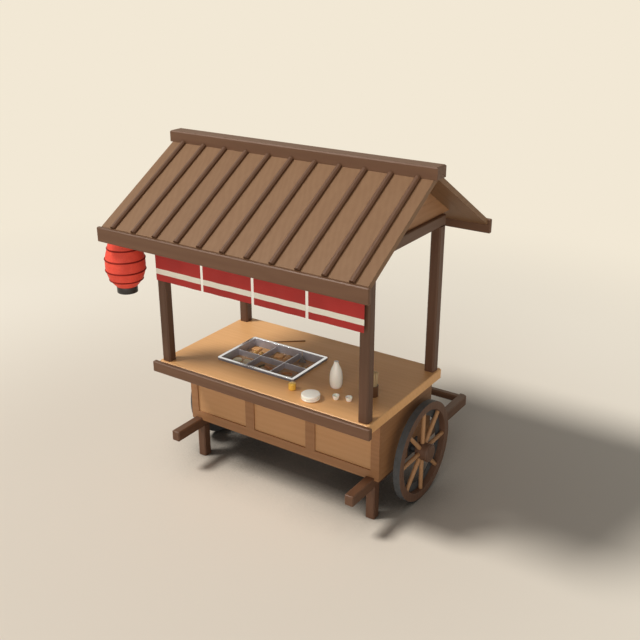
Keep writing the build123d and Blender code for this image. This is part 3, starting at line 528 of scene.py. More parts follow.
class Bench:
    """Where pieces are made with Blender's own modelling operators."""

    @staticmethod
    def clear() -> None:
        """Deselects everything."""
        if bpy.context.object and bpy.context.object.mode != "OBJECT":
            bpy.ops.object.mode_set(mode="OBJECT")
        bpy.ops.object.select_all(action="DESELECT")

    @staticmethod
    def hold(piece: bpy.types.Object) -> None:
        """Selects one piece and makes it active."""
        Bench.clear()
        piece.select_set(True)
        bpy.context.view_layer.objects.active = piece

    @staticmethod
    def settle(piece: bpy.types.Object, name: str) -> bpy.types.Object:
        """Puts a piece's place into its mesh and names it."""
        Bench.hold(piece)
        bpy.ops.object.transform_apply(location=True, rotation=True, scale=True)
        piece.name = name
        piece.data.name = name
        return piece

    @staticmethod
    def apply(piece: bpy.types.Object, kind: str, settings: dict[str, object]) -> None:
        """Adds one modifier and applies it."""
        Bench.hold(piece)
        modifier = piece.modifiers.new(kind.lower(), kind)
        for name, setting in settings.items():
            setattr(modifier, name, setting)
        bpy.ops.object.modifier_apply(modifier=modifier.name)

    @staticmethod
    def rings(name: str, outline: Outline, sides: int, filled: bool) -> bpy.types.Object:
        """Extrudes one ring of edges through every point of an outline, and stays in edit mode.

        Args:
            name: The piece's name.
            outline: (radius, height) points, in order.
            sides: Faces round the piece.
            filled: Whether the ring carries a face, as the end of a closed piece does.

        Returns:
            The piece.
        """
        Bench.clear()
        radius, height = outline[0]
        bpy.ops.mesh.primitive_circle_add(vertices=sides, radius=radius, location=(0, 0, height),
                                          fill_type="NGON" if filled else "NOTHING")
        piece = Bench.settle(bpy.context.object, name)
        bpy.ops.object.mode_set(mode="EDIT")
        bpy.ops.mesh.select_mode(type="VERT")
        bpy.ops.mesh.select_all(action="SELECT")
        extrude = bpy.ops.mesh.extrude_region_move if filled else bpy.ops.mesh.extrude_edges_move
        for next_radius, next_height in outline[1:]:
            extrude(TRANSFORM_OT_translate={"value": (0, 0, next_height - height)})
            share = next_radius / radius
            bpy.ops.transform.resize(value=(share, share, 1), center_override=(0, 0, next_height))
            radius, height = next_radius, next_height
        bpy.ops.mesh.select_all(action="SELECT")
        return piece

    @staticmethod
    def smoothed(piece: bpy.types.Object, centre: Sequence[float], smooth: float) -> bpy.types.Object:
        """Turns a piece's faces outward, smooths it and moves it to its place."""
        bpy.ops.mesh.normals_make_consistent(inside=False)
        bpy.ops.object.mode_set(mode="OBJECT")
        bpy.ops.object.shade_smooth_by_angle(angle=math.radians(smooth))
        piece.location = centre
        return Bench.settle(piece, piece.name)

    @staticmethod
    def turned(name: str, outline: Outline, centre: Sequence[float], sides: int = 48,
               smooth: float = 40.0) -> bpy.types.Object:
        """A closed turned piece: its outline runs from the foot, up the outside and into any hollow."""
        return Bench.smoothed(Bench.rings(name, outline, sides, filled=True), centre, smooth)

    @staticmethod
    def band(name: str, outline: Outline, centre: Sequence[float], sides: int = 64,
             smooth: float = 40.0) -> bpy.types.Object:
        """A hollow turned piece: its outline runs once round the section and back to its start."""
        piece = Bench.rings(name, outline + outline[:1], sides, filled=False)
        bpy.ops.mesh.remove_doubles(threshold=MERGE_DISTANCE)
        return Bench.smoothed(piece, centre, smooth)

    @staticmethod
    def pick(piece: bpy.types.Object, wanted: Callable[[bpy.types.MeshPolygon], bool]) -> None:
        """Enters edit mode with only the wanted faces selected."""
        Bench.hold(piece)
        bpy.ops.object.mode_set(mode="EDIT")
        bpy.ops.mesh.select_mode(type="FACE")
        bpy.ops.mesh.select_all(action="DESELECT")
        bpy.ops.object.mode_set(mode="OBJECT")
        for face in piece.data.polygons:
            face.select = wanted(face)
        bpy.ops.object.mode_set(mode="EDIT")

    @staticmethod
    def again(piece: bpy.types.Object) -> bpy.types.Object:
        """A copy of a piece with its own mesh."""
        twin = piece.copy()
        twin.data = piece.data.copy()
        bpy.context.scene.collection.objects.link(twin)
        return twin

    @staticmethod
    def aimed(piece: bpy.types.Object, foot: Vector, head: Vector) -> bpy.types.Object:
        """Stands a piece made on the Z axis at one point, so that it points to another."""
        piece.rotation_mode = "QUATERNION"
        piece.rotation_quaternion = (head - foot).to_track_quat("Z", "Y")
        piece.location = foot
        return Bench.settle(piece, piece.name)

    @staticmethod
    def repeated(first: bpy.types.Object, name: str,
                 lines: Iterable[tuple[Vector, Vector]]) -> bpy.types.Object:
        """Joins copies of a piece made on the Z axis, one on each line, and drops the first.

        Args:
            first: The piece to copy.
            name: The joined piece's name.
            lines: Each copy's foot and head.

        Returns:
            The joined piece.
        """
        made = [Bench.aimed(Bench.again(first), foot, head) for foot, head in lines]
        bpy.data.objects.remove(first)
        return Bench.joined(made, name)

    @staticmethod
    def stouter(piece: bpy.types.Object, axis: int, centres: Sequence[float], share: float) -> None:
        """Moves every point away from the nearest centre line, so that each bar grows thicker.

        Args:
            piece: A copied node of parallel bars.
            axis: 0, 1 or 2 for X, Y or Z.
            centres: Where the bars' middles lie along the axis.
            share: New thickness over the old.
        """
        for vertex in piece.data.vertices:
            near = min(centres, key=lambda centre: abs(centre - vertex.co[axis]))
            vertex.co[axis] = near + (vertex.co[axis] - near) * share
        piece.data.update()

    @staticmethod
    def copied(node: str, name: str) -> bpy.types.Object:
        """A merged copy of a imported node, as a piece of its own."""
        piece = bpy.data.objects.new(name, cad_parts[node].data.copy())
        bpy.context.scene.collection.objects.link(piece)
        Bench.hold(piece)
        bpy.ops.object.mode_set(mode="EDIT")
        bpy.ops.mesh.select_all(action="SELECT")
        bpy.ops.mesh.remove_doubles(threshold=MERGE_DISTANCE)
        bpy.ops.object.mode_set(mode="OBJECT")
        return piece

    @staticmethod
    def joined(pieces: list[bpy.types.Object], name: str) -> bpy.types.Object:
        """Joins pieces into one mesh."""
        Bench.hold(pieces[0])
        for piece in pieces:
            piece.select_set(True)
        bpy.ops.object.join()
        return Bench.settle(bpy.context.object, name)


def place_piece(piece: bpy.types.Object, body: str, slot: str, *nodes: str) -> None:
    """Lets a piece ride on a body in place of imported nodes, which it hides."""
    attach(piece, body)
    for node in nodes:
        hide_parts(node)
    log.info("made %s on %s", piece.name, body)


# Sub-assemblies

@dataclass
class Timberwork:
    """Counter, body, posts, beams, roof and shafts, with the bars at their full thickness."""

    palette: Palette
    post: float = 0.066
    leg: float = 0.056
    shaft: float = 0.058
    batten: float = 0.030
    batten_count: int = 11
    front_post_share: float = 1.12
    back_post_share: float = 1.15
    leg_share: float = 1.27
    leg_shift: float = -0.006
    shaft_share: float = 1.18
    batten_share: float = 1.22
    end_gap: float = 0.0004
    end_bevel: float = 0.0015
    end_point: float = 0.01
    lengthwise: tuple[str, ...] = ("counter_front_rail", "top_beams", "front_fascia", "back_fascia",
                                   "ridge_beam", "noren_rail", "handle_bar")

    def thick(self, node: str, name: str, finish: Finish, centres: dict[int, Sequence[float]], share: float,
              shift: float = 0.0) -> None:
        """Replaces a node of parallel bars by the same bars made thicker.

        Args:
            node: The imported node.
            name: The new piece's name.
            finish: Its finish.
            centres: The bars' middles for each axis across them.
            share: New thickness over the old.
            shift: How far the bars move along X.
        """
        piece = Bench.copied(node, name)
        for axis, middles in centres.items():
            Bench.stouter(piece, axis, middles, share)
        for vertex in piece.data.vertices:
            vertex.co.x += shift
        Bench.hold(piece)
        if piece.data.has_custom_normals:
            bpy.ops.mesh.customdata_custom_splitnormals_clear()
        bpy.ops.object.shade_smooth_by_angle(angle=math.radians(30))
        self.palette.coat(piece, finish)
        Bench.settle(piece, name)
        place_piece(piece, STALL, "dark_wood", node)

    def pair(self, node: str, axis: int, size: float) -> tuple[float, float]:
        """The middles of the two outermost bars of a node."""
        low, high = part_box(node)
        return low[axis] + size / 2, high[axis] - size / 2

    def bars(self) -> None:
        """Makes posts, legs, shafts and battens at their full thickness."""
        for node, name, share in (("front_posts", "front_post_timbers", self.front_post_share),
                                  ("back_posts", "back_post_timbers", self.back_post_share)):
            across, deep = self.pair(node, 0, self.post), self.pair(node, 1, self.post)
            self.thick(node, name, Finish.DARK_Z, {0: across, 1: deep}, share)
        across, deep = self.pair("legs", 0, self.leg), self.pair("legs", 1, self.leg)
        self.thick("legs", "leg_timbers", Finish.DARK_Z, {0: across, 1: deep}, self.leg_share,
                   self.leg_shift)
        across = self.pair("shafts", 0, self.shaft)
        self.thick("shafts", "shaft_timbers", Finish.DARK_Y, {0: across}, self.shaft_share)
        for side in ("front", "back"):
            first, last = self.pair(f"{side}_roof_battens", 0, self.batten)
            gaps = self.batten_count - 1
            middles = [mixed(first, last, index / gaps) for index in range(self.batten_count)]
            self.thick(f"{side}_roof_battens", f"{side}_batten_rods", Finish.DARK_Y, {0: middles},
                       self.batten_share)

    def ridge_end(self, side: str) -> None:
        """Closes the ridge beam's hollow underside beyond the boards with a wedge of end wood."""
        low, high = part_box("ridge_beam")
        boards_low, boards_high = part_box("front_roof_boards")
        start, end = (boards_high.x, high.x) if side == "right" else (low.x, boards_low.x)
        height = boards_high.z - low.z
        Bench.clear()
        bpy.ops.mesh.primitive_cube_add(size=1.0)
        block = bpy.context.object
        block.scale = (end - start - 2 * self.end_gap, high.y - low.y - 2 * self.end_bevel, height)
        block.location = ((start + end) / 2, (low.y + high.y) / 2, low.z + height / 2 + self.end_gap)
        Bench.settle(block, f"{side}_ridge_end")
        Bench.pick(block, lambda face: face.normal.z > 0.9)
        bpy.ops.transform.resize(value=(1, self.end_point, 1), center_override=(0, (low.y + high.y) / 2, 0))
        bpy.ops.mesh.select_all(action="SELECT")
        bpy.ops.mesh.remove_doubles(threshold=self.end_bevel)
        bpy.ops.mesh.bevel(offset=self.end_bevel, segments=2)
        bpy.ops.object.mode_set(mode="OBJECT")
        place_piece(self.palette.coat(block, Finish.DARK_X), STALL, "dark_wood")

    def dress(self) -> None:
        """Gives every timber its wood."""
        dress = self.palette.dress
        dress(Finish.COUNTER, "counter_top")
        dress(Finish.DARK_X, *self.lengthwise)
        dress(Finish.DARK_Y, "tie_beams")
        dress(Finish.BODY_FRONT, "cart_front_frame", "cart_floor")
        dress(Finish.BODY_SIDE, "cart_left_side", "cart_right_side")
        dress(Finish.BODY_BACK, "cart_back")
        dress(Finish.PANEL, "front_panels")
        dress(Finish.ROOF, "front_roof_boards", "back_roof_boards")
        dress(Finish.GABLE, "gables")
        self.bars()
        self.ridge_end("left")
        self.ridge_end("right")


@dataclass
class Curtain:
    """Four short cloth panels that hang from their rail across the front."""

    palette: Palette
    count: int = 4
    columns: int = 42
    rows: int = 44
    thickness: float = 0.0018
    sway: float = 0.0012
    folds: float = 2.6
    phase_step: float = 1.9
    slack: float = 1.4

    def offset(self, index: int, across: float, down: float) -> float:
        """How far the cloth stands off its flat place.

        Args:
            index: Which panel, from the left.
            across: Share of the panel's width.
            down: Share of its drop, 0 at the rail.

        Returns:
            Metres towards the customers.
        """
        phase = index * self.phase_step
        wave = math.sin(across * self.folds * 2 * math.pi + phase)
        ripple = 0.5 * math.sin(across * 9.1 + 2.3 * phase)
        lift = math.sin(across * 2.2 + phase) * 0.6
        return self.sway * (down ** self.slack) * (wave + ripple + lift * down)

    def panel(self, index: int) -> bpy.types.Object:
        """Models one panel."""
        node = f"noren_panel_{index + 1}"
        low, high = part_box(node)
        Bench.clear()
        bpy.ops.mesh.primitive_grid_add(x_subdivisions=self.columns, y_subdivisions=self.rows, size=1.0)
        piece = bpy.context.object
        width, drop = high.x - low.x, high.z - low.z
        plane_y = (low.y + high.y) / 2
        for vertex in piece.data.vertices:
            across, up = vertex.co.x + 0.5, vertex.co.y + 0.5
            stand_off = self.offset(index, across, 1.0 - up)
            vertex.co = (low.x + across * width, plane_y - stand_off, low.z + up * drop)
        piece.data.update()
        Bench.apply(piece, "SOLIDIFY", {"thickness": self.thickness, "offset": 0.0})
        bpy.ops.object.shade_smooth_by_angle(angle=math.radians(50))
        self.palette.coat(piece, Finish.CLOTH)
        Bench.settle(piece, f"curtain_panel_{index + 1}")
        place_piece(piece, STALL, "red_cloth", node)
        return piece

    def build(self) -> None:
        """Makes all the panels."""
        for index in range(self.count):
            self.panel(index)


@dataclass
class PaperLantern:
    """A red paper barrel stretched over four proud hoops, between black rings."""

    palette: Palette
    hoops: tuple[tuple[float, float], ...] = ((-0.1405, 0.1165), (-0.070, 0.1396), (0.013, 0.1396),
                                              (0.091, 0.1190))
    foot: tuple[float, float] = (-0.1925, 0.0745)
    shoulder: tuple[float, float] = (0.152, 0.1000)
    head: tuple[float, float] = (0.190, 0.0850)
    hoop_wire: float = 0.0054
    wall: float = 0.0015
    swell: float = 0.0018
    sides: int = 72
    steps: int = 5
    ring_inner: float = 0.058
    ring_outer: float = 0.0735
    ring_height: float = 0.047
    ring_round: float = 0.0025
    ring_lap: float = 0.001

    def paper(self, centre: Vector) -> None:
        """Makes the paper, a little swollen between the hoops."""
        knots = [self.foot, *self.hoops, self.shoulder, self.head]
        outline: Outline = []
        for (low, narrow), (high, wide) in zip(knots, knots[1:]):
            for step in range(self.steps):
                share = step / self.steps
                radius = mixed(narrow, wide, share) + self.swell * math.sin(math.pi * share)
                outline.append((radius, mixed(low, high, share)))
        outline.append((self.head[1], self.head[0]))
        back = [(radius - self.wall, height) for radius, height in reversed(outline)]
        paper = Bench.band("lantern_paper", outline + back, centre, self.sides, 60.0)
        place_piece(self.palette.coat(paper, Finish.PAPER), LANTERN, "lantern_paper", "lantern_shade")

    def hoop_rings(self, centre: Vector) -> None:
        """Makes the hoops that stand proud of the paper."""
        rings = []
        for height, radius in self.hoops:
            Bench.clear()
            bpy.ops.mesh.primitive_torus_add(major_radius=radius, minor_radius=self.hoop_wire,
                                             major_segments=self.sides, minor_segments=10,
                                             location=centre + Vector((0, 0, height)))
            bpy.ops.object.shade_smooth()
            rings.append(bpy.context.object)
        piece = self.palette.coat(Bench.joined(rings, "lantern_hoops"), Finish.HOOP)
        place_piece(piece, LANTERN, "lantern_paper")

    def foot_ring(self, centre: Vector) -> None:
        """Makes the black ring that closes the foot of the paper."""
        low, high = self.foot[0] - self.ring_height, self.foot[0] + self.ring_lap
        soft, inner, outer = self.ring_round, self.ring_inner, self.ring_outer
        outline = [(inner, low + soft), (inner + soft, low), (outer - soft, low),
                   (outer - soft * 0.3, low + soft * 0.3), (outer, low + soft), (outer, high - soft),
                   (outer - soft * 0.3, high - soft * 0.3), (outer - soft, high), (inner + soft, high),
                   (inner, high - soft)]
        ring = Bench.band("lantern_foot_ring", outline, centre, self.sides, 50.0)
        place_piece(self.palette.coat(ring, Finish.LACQUER), LANTERN, "black_lacquer", "lantern_bottom_ring")

    def build(self) -> None:
        """Makes the paper, the hoops and the foot ring, and dresses the rest."""
        centre = middle("lantern_shade")
        self.paper(centre)
        self.hoop_rings(centre)
        self.foot_ring(centre)
        self.palette.dress(Finish.LACQUER, "lantern_top_ring")
        self.palette.dress(Finish.WIRE, "lantern_hanger", "lantern_hook")


@dataclass
class Wheels:
    """Two spoked wheels with grey tyres, on iron stub axles with bolted flanges."""

    palette: Palette
    sides: tuple[str, ...] = ("left", "right")
    bolt_inset: float = 0.020
    bolt_radius: float = 0.0085
    bolt_height: float = 0.006
    flange_thickness: float = 0.010
    spoke_count: int = 8
    spoke_radius: float = 0.0158
    spoke_start: float = 0.058
    spoke_end: float = 0.319
    face_inner: float = 0.3165
    face_outer: float = 0.3745
    face_proud: float = 0.002
    face_sink: float = 0.0006
    cap_lip: float = 0.003
    cap_wall: float = 0.0035
    cap_cover: float = 0.002
    cap_crown: tuple[tuple[float, float], ...] = ((0.62, 0.0), (0.84, 0.0010), (0.96, 0.0038), (1.0, 0.0085))

    def sign(self, side: str) -> float:
        """Which way a wheel's outer face looks along X."""
        return 1.0 if side == "right" else -1.0

    def outer_x(self, side: str, node: str) -> float:
        """Where a node's outer face lies along X."""
        low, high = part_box(node)
        return high.x if side == "right" else low.x

    def bolts(self, side: str) -> None:
        """Makes the four coach bolt heads on one axle flange."""
        low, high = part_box(f"{side}_stub_axle")
        sign = self.sign(side)
        face = self.outer_x(side, f"cart_{side}_side") + sign * self.flange_thickness
        wide, tall, washer = self.bolt_radius, self.bolt_height, self.bolt_radius * 1.5
        outline = [(washer, 0.0), (washer, 0.0015), (wide, 0.0016), (wide, tall * 0.8), (wide * 0.8, tall)]
        places = [Vector((face, y, z)) for y in (low.y + self.bolt_inset, high.y - self.bolt_inset)
                  for z in (low.z + self.bolt_inset, high.z - self.bolt_inset)]
        heads = Bench.repeated(Bench.turned("bolt", outline, (0, 0, 0), 6, 20.0), f"{side}_axle_bolts",
                               [(place, place + Vector((sign, 0, 0))) for place in places])
        piece = self.palette.coat(heads, Finish.IRON)
        place_piece(piece, STALL, "axle_iron")

    def spokes(self, side: str) -> None:
        """Turns one spoke and repeats it round the hub."""
        centre = middle(f"{side}_wheel_spokes")
        start, end, wide = self.spoke_start, self.spoke_end, self.spoke_radius
        outline = [(wide * 0.96, start), (wide * 1.03, start + 0.012), (wide, mixed(start, end, 0.5)),
                   (wide * 0.97, end - 0.010), (wide * 0.93, end - 0.003), (wide * 0.80, end)]
        angles = [2 * math.pi * index / self.spoke_count for index in range(self.spoke_count)]
        made = Bench.repeated(Bench.turned("spoke", outline, (0, 0, 0), 20, 35.0), f"{side}_turned_spokes",
                              [(centre, centre + Vector((0, math.sin(a), math.cos(a)))) for a in angles])
        piece = self.palette.coat(made, Finish.SPOKE)
        place_piece(piece, f"{side}_wheel", "spoke_wood", f"{side}_wheel_spokes")

    def felloe_face(self, side: str) -> None:
        """Makes the flat wooden face of the felloe, which laps over the tyre's edge."""
        centre = middle(f"{side}_wheel_rim")
        sign = self.sign(side)
        face = Vector((self.outer_x(side, f"{side}_wheel_rim"), centre.y, centre.z))
        inner, outer, proud, sink = self.face_inner, self.face_outer, self.face_proud, self.face_sink
        outline = [(inner, -sink), (outer, -sink), (outer, proud * 0.4), (outer - proud * 0.6, proud),
                   (inner + proud * 0.6, proud), (inner, proud * 0.4)]
        ring = Bench.band(f"{side}_felloe_face", outline, (0, 0, 0), 96, 30.0)
        ring = Bench.aimed(ring, face, face + Vector((sign, 0, 0)))
        place_piece(self.palette.coat(ring, Finish.RIM), f"{side}_wheel", "rim_wood")

    def hub_cap(self, side: str) -> None:
        """Turns the hollow wooden cap that covers the axle's end."""
        low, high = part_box(f"{side}_wheel_hub")
        centre = (low + high) / 2
        sign = self.sign(side)
        tip = self.outer_x(side, f"{side}_stub_axle") + sign * self.cap_cover
        deep = abs(tip - self.outer_x(side, f"{side}_wheel_hub"))
        wide = (high.z - low.z) / 2 + self.cap_lip
        outline = [(wide * share, height) for share, height in self.cap_crown]
        outline += [(wide, deep), (wide - self.cap_wall, deep), (wide - self.cap_wall, self.cap_cover * 0.7)]
        cap = Bench.turned(f"{side}_hub_cap", outline, (0, 0, 0), 40, 35.0)
        foot = Vector((tip, centre.y, centre.z))
        cap = Bench.aimed(cap, foot, foot - Vector((sign, 0, 0)))
        place_piece(self.palette.coat(cap, Finish.RIM), f"{side}_wheel", "rim_wood")

    def build(self) -> None:
        """Dresses both wheels and makes their turned pieces."""
        for side in self.sides:
            self.palette.dress(Finish.TYRE, f"{side}_wheel_tyre")
            self.palette.dress(Finish.RIM, f"{side}_wheel_rim", f"{side}_wheel_hub")
            self.palette.dress(Finish.IRON, f"{side}_stub_axle")
            self.bolts(side)
            self.spokes(side)
            self.felloe_face(side)
            self.hub_cap(side)


@dataclass(frozen=True)
class Food:
    """One kind of food: its piece's name, finish, slot and how lumpy it is in metres."""

    name: str
    finish: Finish
    slot: str
    lumps: float


@dataclass
class OdenPan:
    """The divided steel pan with broth and food in its six compartments."""

    palette: Palette
    columns: int = 3
    rows: int = 2
    sheet: float = 0.003
    rim_width: float = 0.020
    broth_below_rim: float = 0.062
    meniscus: float = 0.0012
    meniscus_width: float = 0.004
    pool_gap: float = 0.0004
    pool_cuts: int = 6
    voxel: float = 0.0028
    softening: float = 0.6
    softening_rounds: int = 6
    lump_size: float = 0.022
    lump_middle: float = 0.6
    foods: dict[str, Food] = field(default_factory=lambda: {
        "daikon_slices": Food("simmered_radish_slices", Finish.RADISH, "daikon_flesh", 0.0012),
        "tofu_slabs": Food("fried_tofu_pieces", Finish.TOFU, "fried_tofu", 0.0035),
        "fish_cake_rolls": Food("browned_rolls", Finish.FISH_CAKE, "fish_cake", 0.0025),
        "fish_balls": Food("golden_balls", Finish.FISH_BALL, "fish_ball", 0.0030),
        "kelp_rolls": Food("knotted_kelp", Finish.KELP, "kelp", 0.0030),
        "konnyaku_triangle": Food("konnyaku_piece", Finish.KONNYAKU, "konnyaku", 0.0010),
    })

    def broth(self) -> None:
        """Makes the still broth in each compartment, raised a little where it meets the steel."""
        low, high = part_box("oden_pan")
        left, right = low.x + self.rim_width + self.sheet, high.x - self.rim_width - self.sheet
        front, back = low.y + self.rim_width + self.sheet, high.y - self.rim_width - self.sheet
        width = (right - left - (self.columns - 1) * self.sheet) / self.columns
        depth = (back - front - (self.rows - 1) * self.sheet) / self.rows
        level = high.z - self.broth_below_rim
        pools = []
        for column in range(self.columns):
            for row in range(self.rows):
                x = left + column * (width + self.sheet) + width / 2
                y = front + row * (depth + self.sheet) + depth / 2
                Bench.clear()
                bpy.ops.mesh.primitive_plane_add(size=1.0, location=(x, y, level))
                pool = bpy.context.object
                pool.scale = (width - self.pool_gap, depth - self.pool_gap, 1.0)
                Bench.settle(pool, "pool")
                bpy.ops.object.mode_set(mode="EDIT")
                bpy.ops.mesh.select_all(action="SELECT")
                bpy.ops.mesh.inset(thickness=self.meniscus_width, depth=-self.meniscus)
                bpy.ops.mesh.subdivide(number_cuts=self.pool_cuts)
                bpy.ops.object.mode_set(mode="OBJECT")
                bpy.ops.object.shade_smooth()
                pools.append(pool)
        broth = self.palette.coat(Bench.joined(pools, "oden_broth"), Finish.BROTH)
        place_piece(broth, STALL, "kelp")

    def food(self, node: str) -> None:
        """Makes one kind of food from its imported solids, softened and roughened as food is."""
        food = self.foods[node]
        piece = Bench.copied(node, food.name)
        Bench.apply(piece, "REMESH", {"mode": "VOXEL", "voxel_size": self.voxel})
        Bench.apply(piece, "SMOOTH", {"factor": self.softening, "iterations": self.softening_rounds})
        clouds = bpy.data.textures.new(food.name, "CLOUDS")
        clouds.noise_scale = self.lump_size
        Bench.apply(piece, "DISPLACE", {"texture": clouds, "strength": food.lumps,
                                        "mid_level": self.lump_middle, "texture_coords": "LOCAL"})
        bpy.ops.object.shade_smooth()
        self.palette.coat(piece, food.finish)
        Bench.settle(piece, food.name)
        place_piece(piece, STALL, food.slot, node)

    def build(self) -> None:
        """Dresses the pan and fills it."""
        self.palette.dress(Finish.STEEL, "oden_pan")
        self.palette.dress(Finish.BAMBOO, "bamboo_skewer")
        self.broth()
        for node in self.foods:
            self.food(node)


@dataclass
class Tableware:
    """Glazed pots, cups, a bottle and chopsticks on the counter."""

    palette: Palette
    soft: float = 0.001
    last_ring: float = 0.004
    jar_seam: float = 0.70
    jar_foot_round: float = 0.006
    jar_lid_round: float = 0.008
    dish_foot_inset: float = 0.010
    dish_round: tuple[float, float] = (0.008, 0.009)
    dish_lid_round: float = 0.007
    sticks: int = 19
    stick: float = 0.0040
    stick_turn: float = 137.5
    stick_foot_share: float = 0.82
    stick_head_share: float = 1.16
    stick_uneven: float = 0.030
    holder_wall: float = 0.004
    cooking_stick: float = 0.0036
    cooking_taper: float = 0.78
    cooking_end_gap: float = 0.003
    cooking_spread: float = 1.01
    cup_rim: float = 0.024
    cup_foot: float = 0.0185
    cup_wall: float = 0.0028
    bore: float = 0.008
    bore_depth: float = 0.034
    bottle_sides: tuple[tuple[float, float], ...] = (
        (0.014, 0.90), (0.030, 0.965), (0.050, 0.995), (0.066, 1.0), (0.088, 0.99), (0.110, 0.935),
        (0.128, 0.85), (0.146, 0.71), (0.160, 0.57), (0.172, 0.45), (0.182, 0.375), (0.190, 0.355),
        (0.195, 0.365))

    def girth(self, node: str) -> tuple[float, float]:
        """A round node's radius and height."""
        low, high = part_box(node)
        return (high.x - low.x) / 2, high.z - low.z

    def rounded(self, corner: tuple[float, float], inward: float, upward: float, steps: int = 4) -> Outline:
        """Points round a corner of an outline.

        Args:
            corner: The sharp corner's radius and height.
            inward: How far the rounding reaches towards the axis.
            upward: How far it reaches up, or down where negative.
            steps: How many points it takes.

        Returns:
            Points from the corner's foot side to its upright side.
        """
        radius, height = corner
        points = []
        for step in range(steps + 1):
            angle = step / steps * math.pi / 2
            points.append((radius - inward * (1 - math.sin(angle)), height + upward * (1 - math.cos(angle))))
        return points

    def stand(self, node: str, name: str, outline: Outline, finish: Finish, slot: str) -> None:
        """Turns one piece of tableware where its node stands."""
        low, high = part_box(node)
        centre = ((low.x + high.x) / 2, (low.y + high.y) / 2, low.z)
        piece = self.palette.coat(Bench.turned(name, outline, centre, 56), finish)
        place_piece(piece, STALL, slot, node)

    def jar(self) -> None:
        """The small yellow mustard jar with its lid."""
        radius, height = self.girth("mustard_jar")
        seam, soft, foot, lid = height * self.jar_seam, self.soft, self.jar_foot_round, self.jar_lid_round
        outline = [(radius - foot, 0.0), *self.rounded((radius, 0.0), foot, foot), (radius, seam - soft),
                   (radius - soft * 1.2, seam), (radius, seam + soft)]
        top = self.rounded((radius, height), lid, -lid)
        outline += list(reversed(top)) + [(self.last_ring, height)]
        self.stand("mustard_jar", "mustard_pot", outline, Finish.MUSTARD, "yellow_glaze")

    def dish(self) -> None:
        """The covered dish and its lid."""
        soft = self.soft
        wide, deep = self.girth("covered_dish")
        foot = wide - self.dish_foot_inset
        outline = [(foot - soft * 4, 0.0), (foot - soft, soft * 0.6),
                   *self.rounded((wide - soft, soft * 2), *self.dish_round), (wide - soft, deep - soft * 4),
                   (wide - soft * 4, deep - soft), (self.last_ring, deep - soft * 0.2)]
        self.stand("covered_dish", "white_dish", outline, Finish.PORCELAIN, "white_porcelain")
        wide, tall = self.girth("dish_lid")
        top = list(reversed(self.rounded((wide, tall), self.dish_lid_round, -self.dish_lid_round, 6)))
        outline = [(wide - soft * 3.5, soft * 0.2), (wide - soft * 0.5, soft * 2), (wide, soft * 3.6), *top,
                   (wide * 0.5, tall + soft * 0.4), (self.last_ring, tall + soft * 0.6)]
        self.stand("dish_lid", "white_dish_lid", outline, Finish.PORCELAIN, "white_porcelain")

    def bottle(self) -> None:
        """The white sake bottle with its open mouth."""
        soft = self.soft
        belly, tall = self.girth("sake_bottle")
        foot = belly * 0.80
        outline = [(foot - soft * 3, 0.0), (foot, soft * 2)]
        outline += [(belly * share, height) for height, share in self.bottle_sides]
        lip = belly * 0.35
        outline += [(lip - soft, tall - soft * 0.6), (lip - soft * 4, tall),
                    (self.bore + soft * 0.5, tall - soft * 2), (self.bore, tall - soft * 10),
                    (self.bore, tall - self.bore_depth)]
        self.stand("sake_bottle", "white_bottle", outline, Finish.PORCELAIN, "white_porcelain")

    def cups(self) -> None:
        """The two small cups, turned one by one and kept as one piece."""
        low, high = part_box("sake_cups")
        rim, foot, wall, tall = self.cup_rim, self.cup_foot, self.cup_wall, high.z - low.z
        soft = self.soft
        outline = [(foot - soft * 2, 0.0), (foot, soft), (mixed(foot, rim, 0.55), tall * 0.35),
                   (mixed(foot, rim, 0.9), tall * 0.72), (rim, tall - soft), (rim - soft, tall),
                   (rim - wall, tall - soft), (mixed(foot, rim, 0.8) - wall, tall * 0.70),
                   (foot - wall, tall * 0.50), (soft * 3, tall * 0.46)]
        places = [(low.x + rim, low.y + rim, low.z), (high.x - rim, high.y - rim, low.z)]
        made = [Bench.turned("cup", outline, place, 40) for place in places]
        piece = self.palette.coat(Bench.joined(made, "small_white_cups"), Finish.PORCELAIN)
        place_piece(piece, STALL, "white_porcelain", "sake_cups")

    def holder(self) -> None:
        """The dark chopstick holder."""
        radius, tall = self.girth("chopstick_holder")
        wall, soft = self.holder_wall, self.soft
        outline = [(radius - wall, 0.0), *self.rounded((radius, 0.0), wall, wall), (radius, tall - soft * 2),
                   (radius - soft * 2, tall), (radius - wall, tall - soft), (radius - wall, wall + soft * 3),
                   (radius - wall - soft * 3, wall), (self.last_ring, wall)]
        self.stand("chopstick_holder", "brown_chopstick_cup", outline, Finish.BROWN_GLAZE, "brown_glaze")

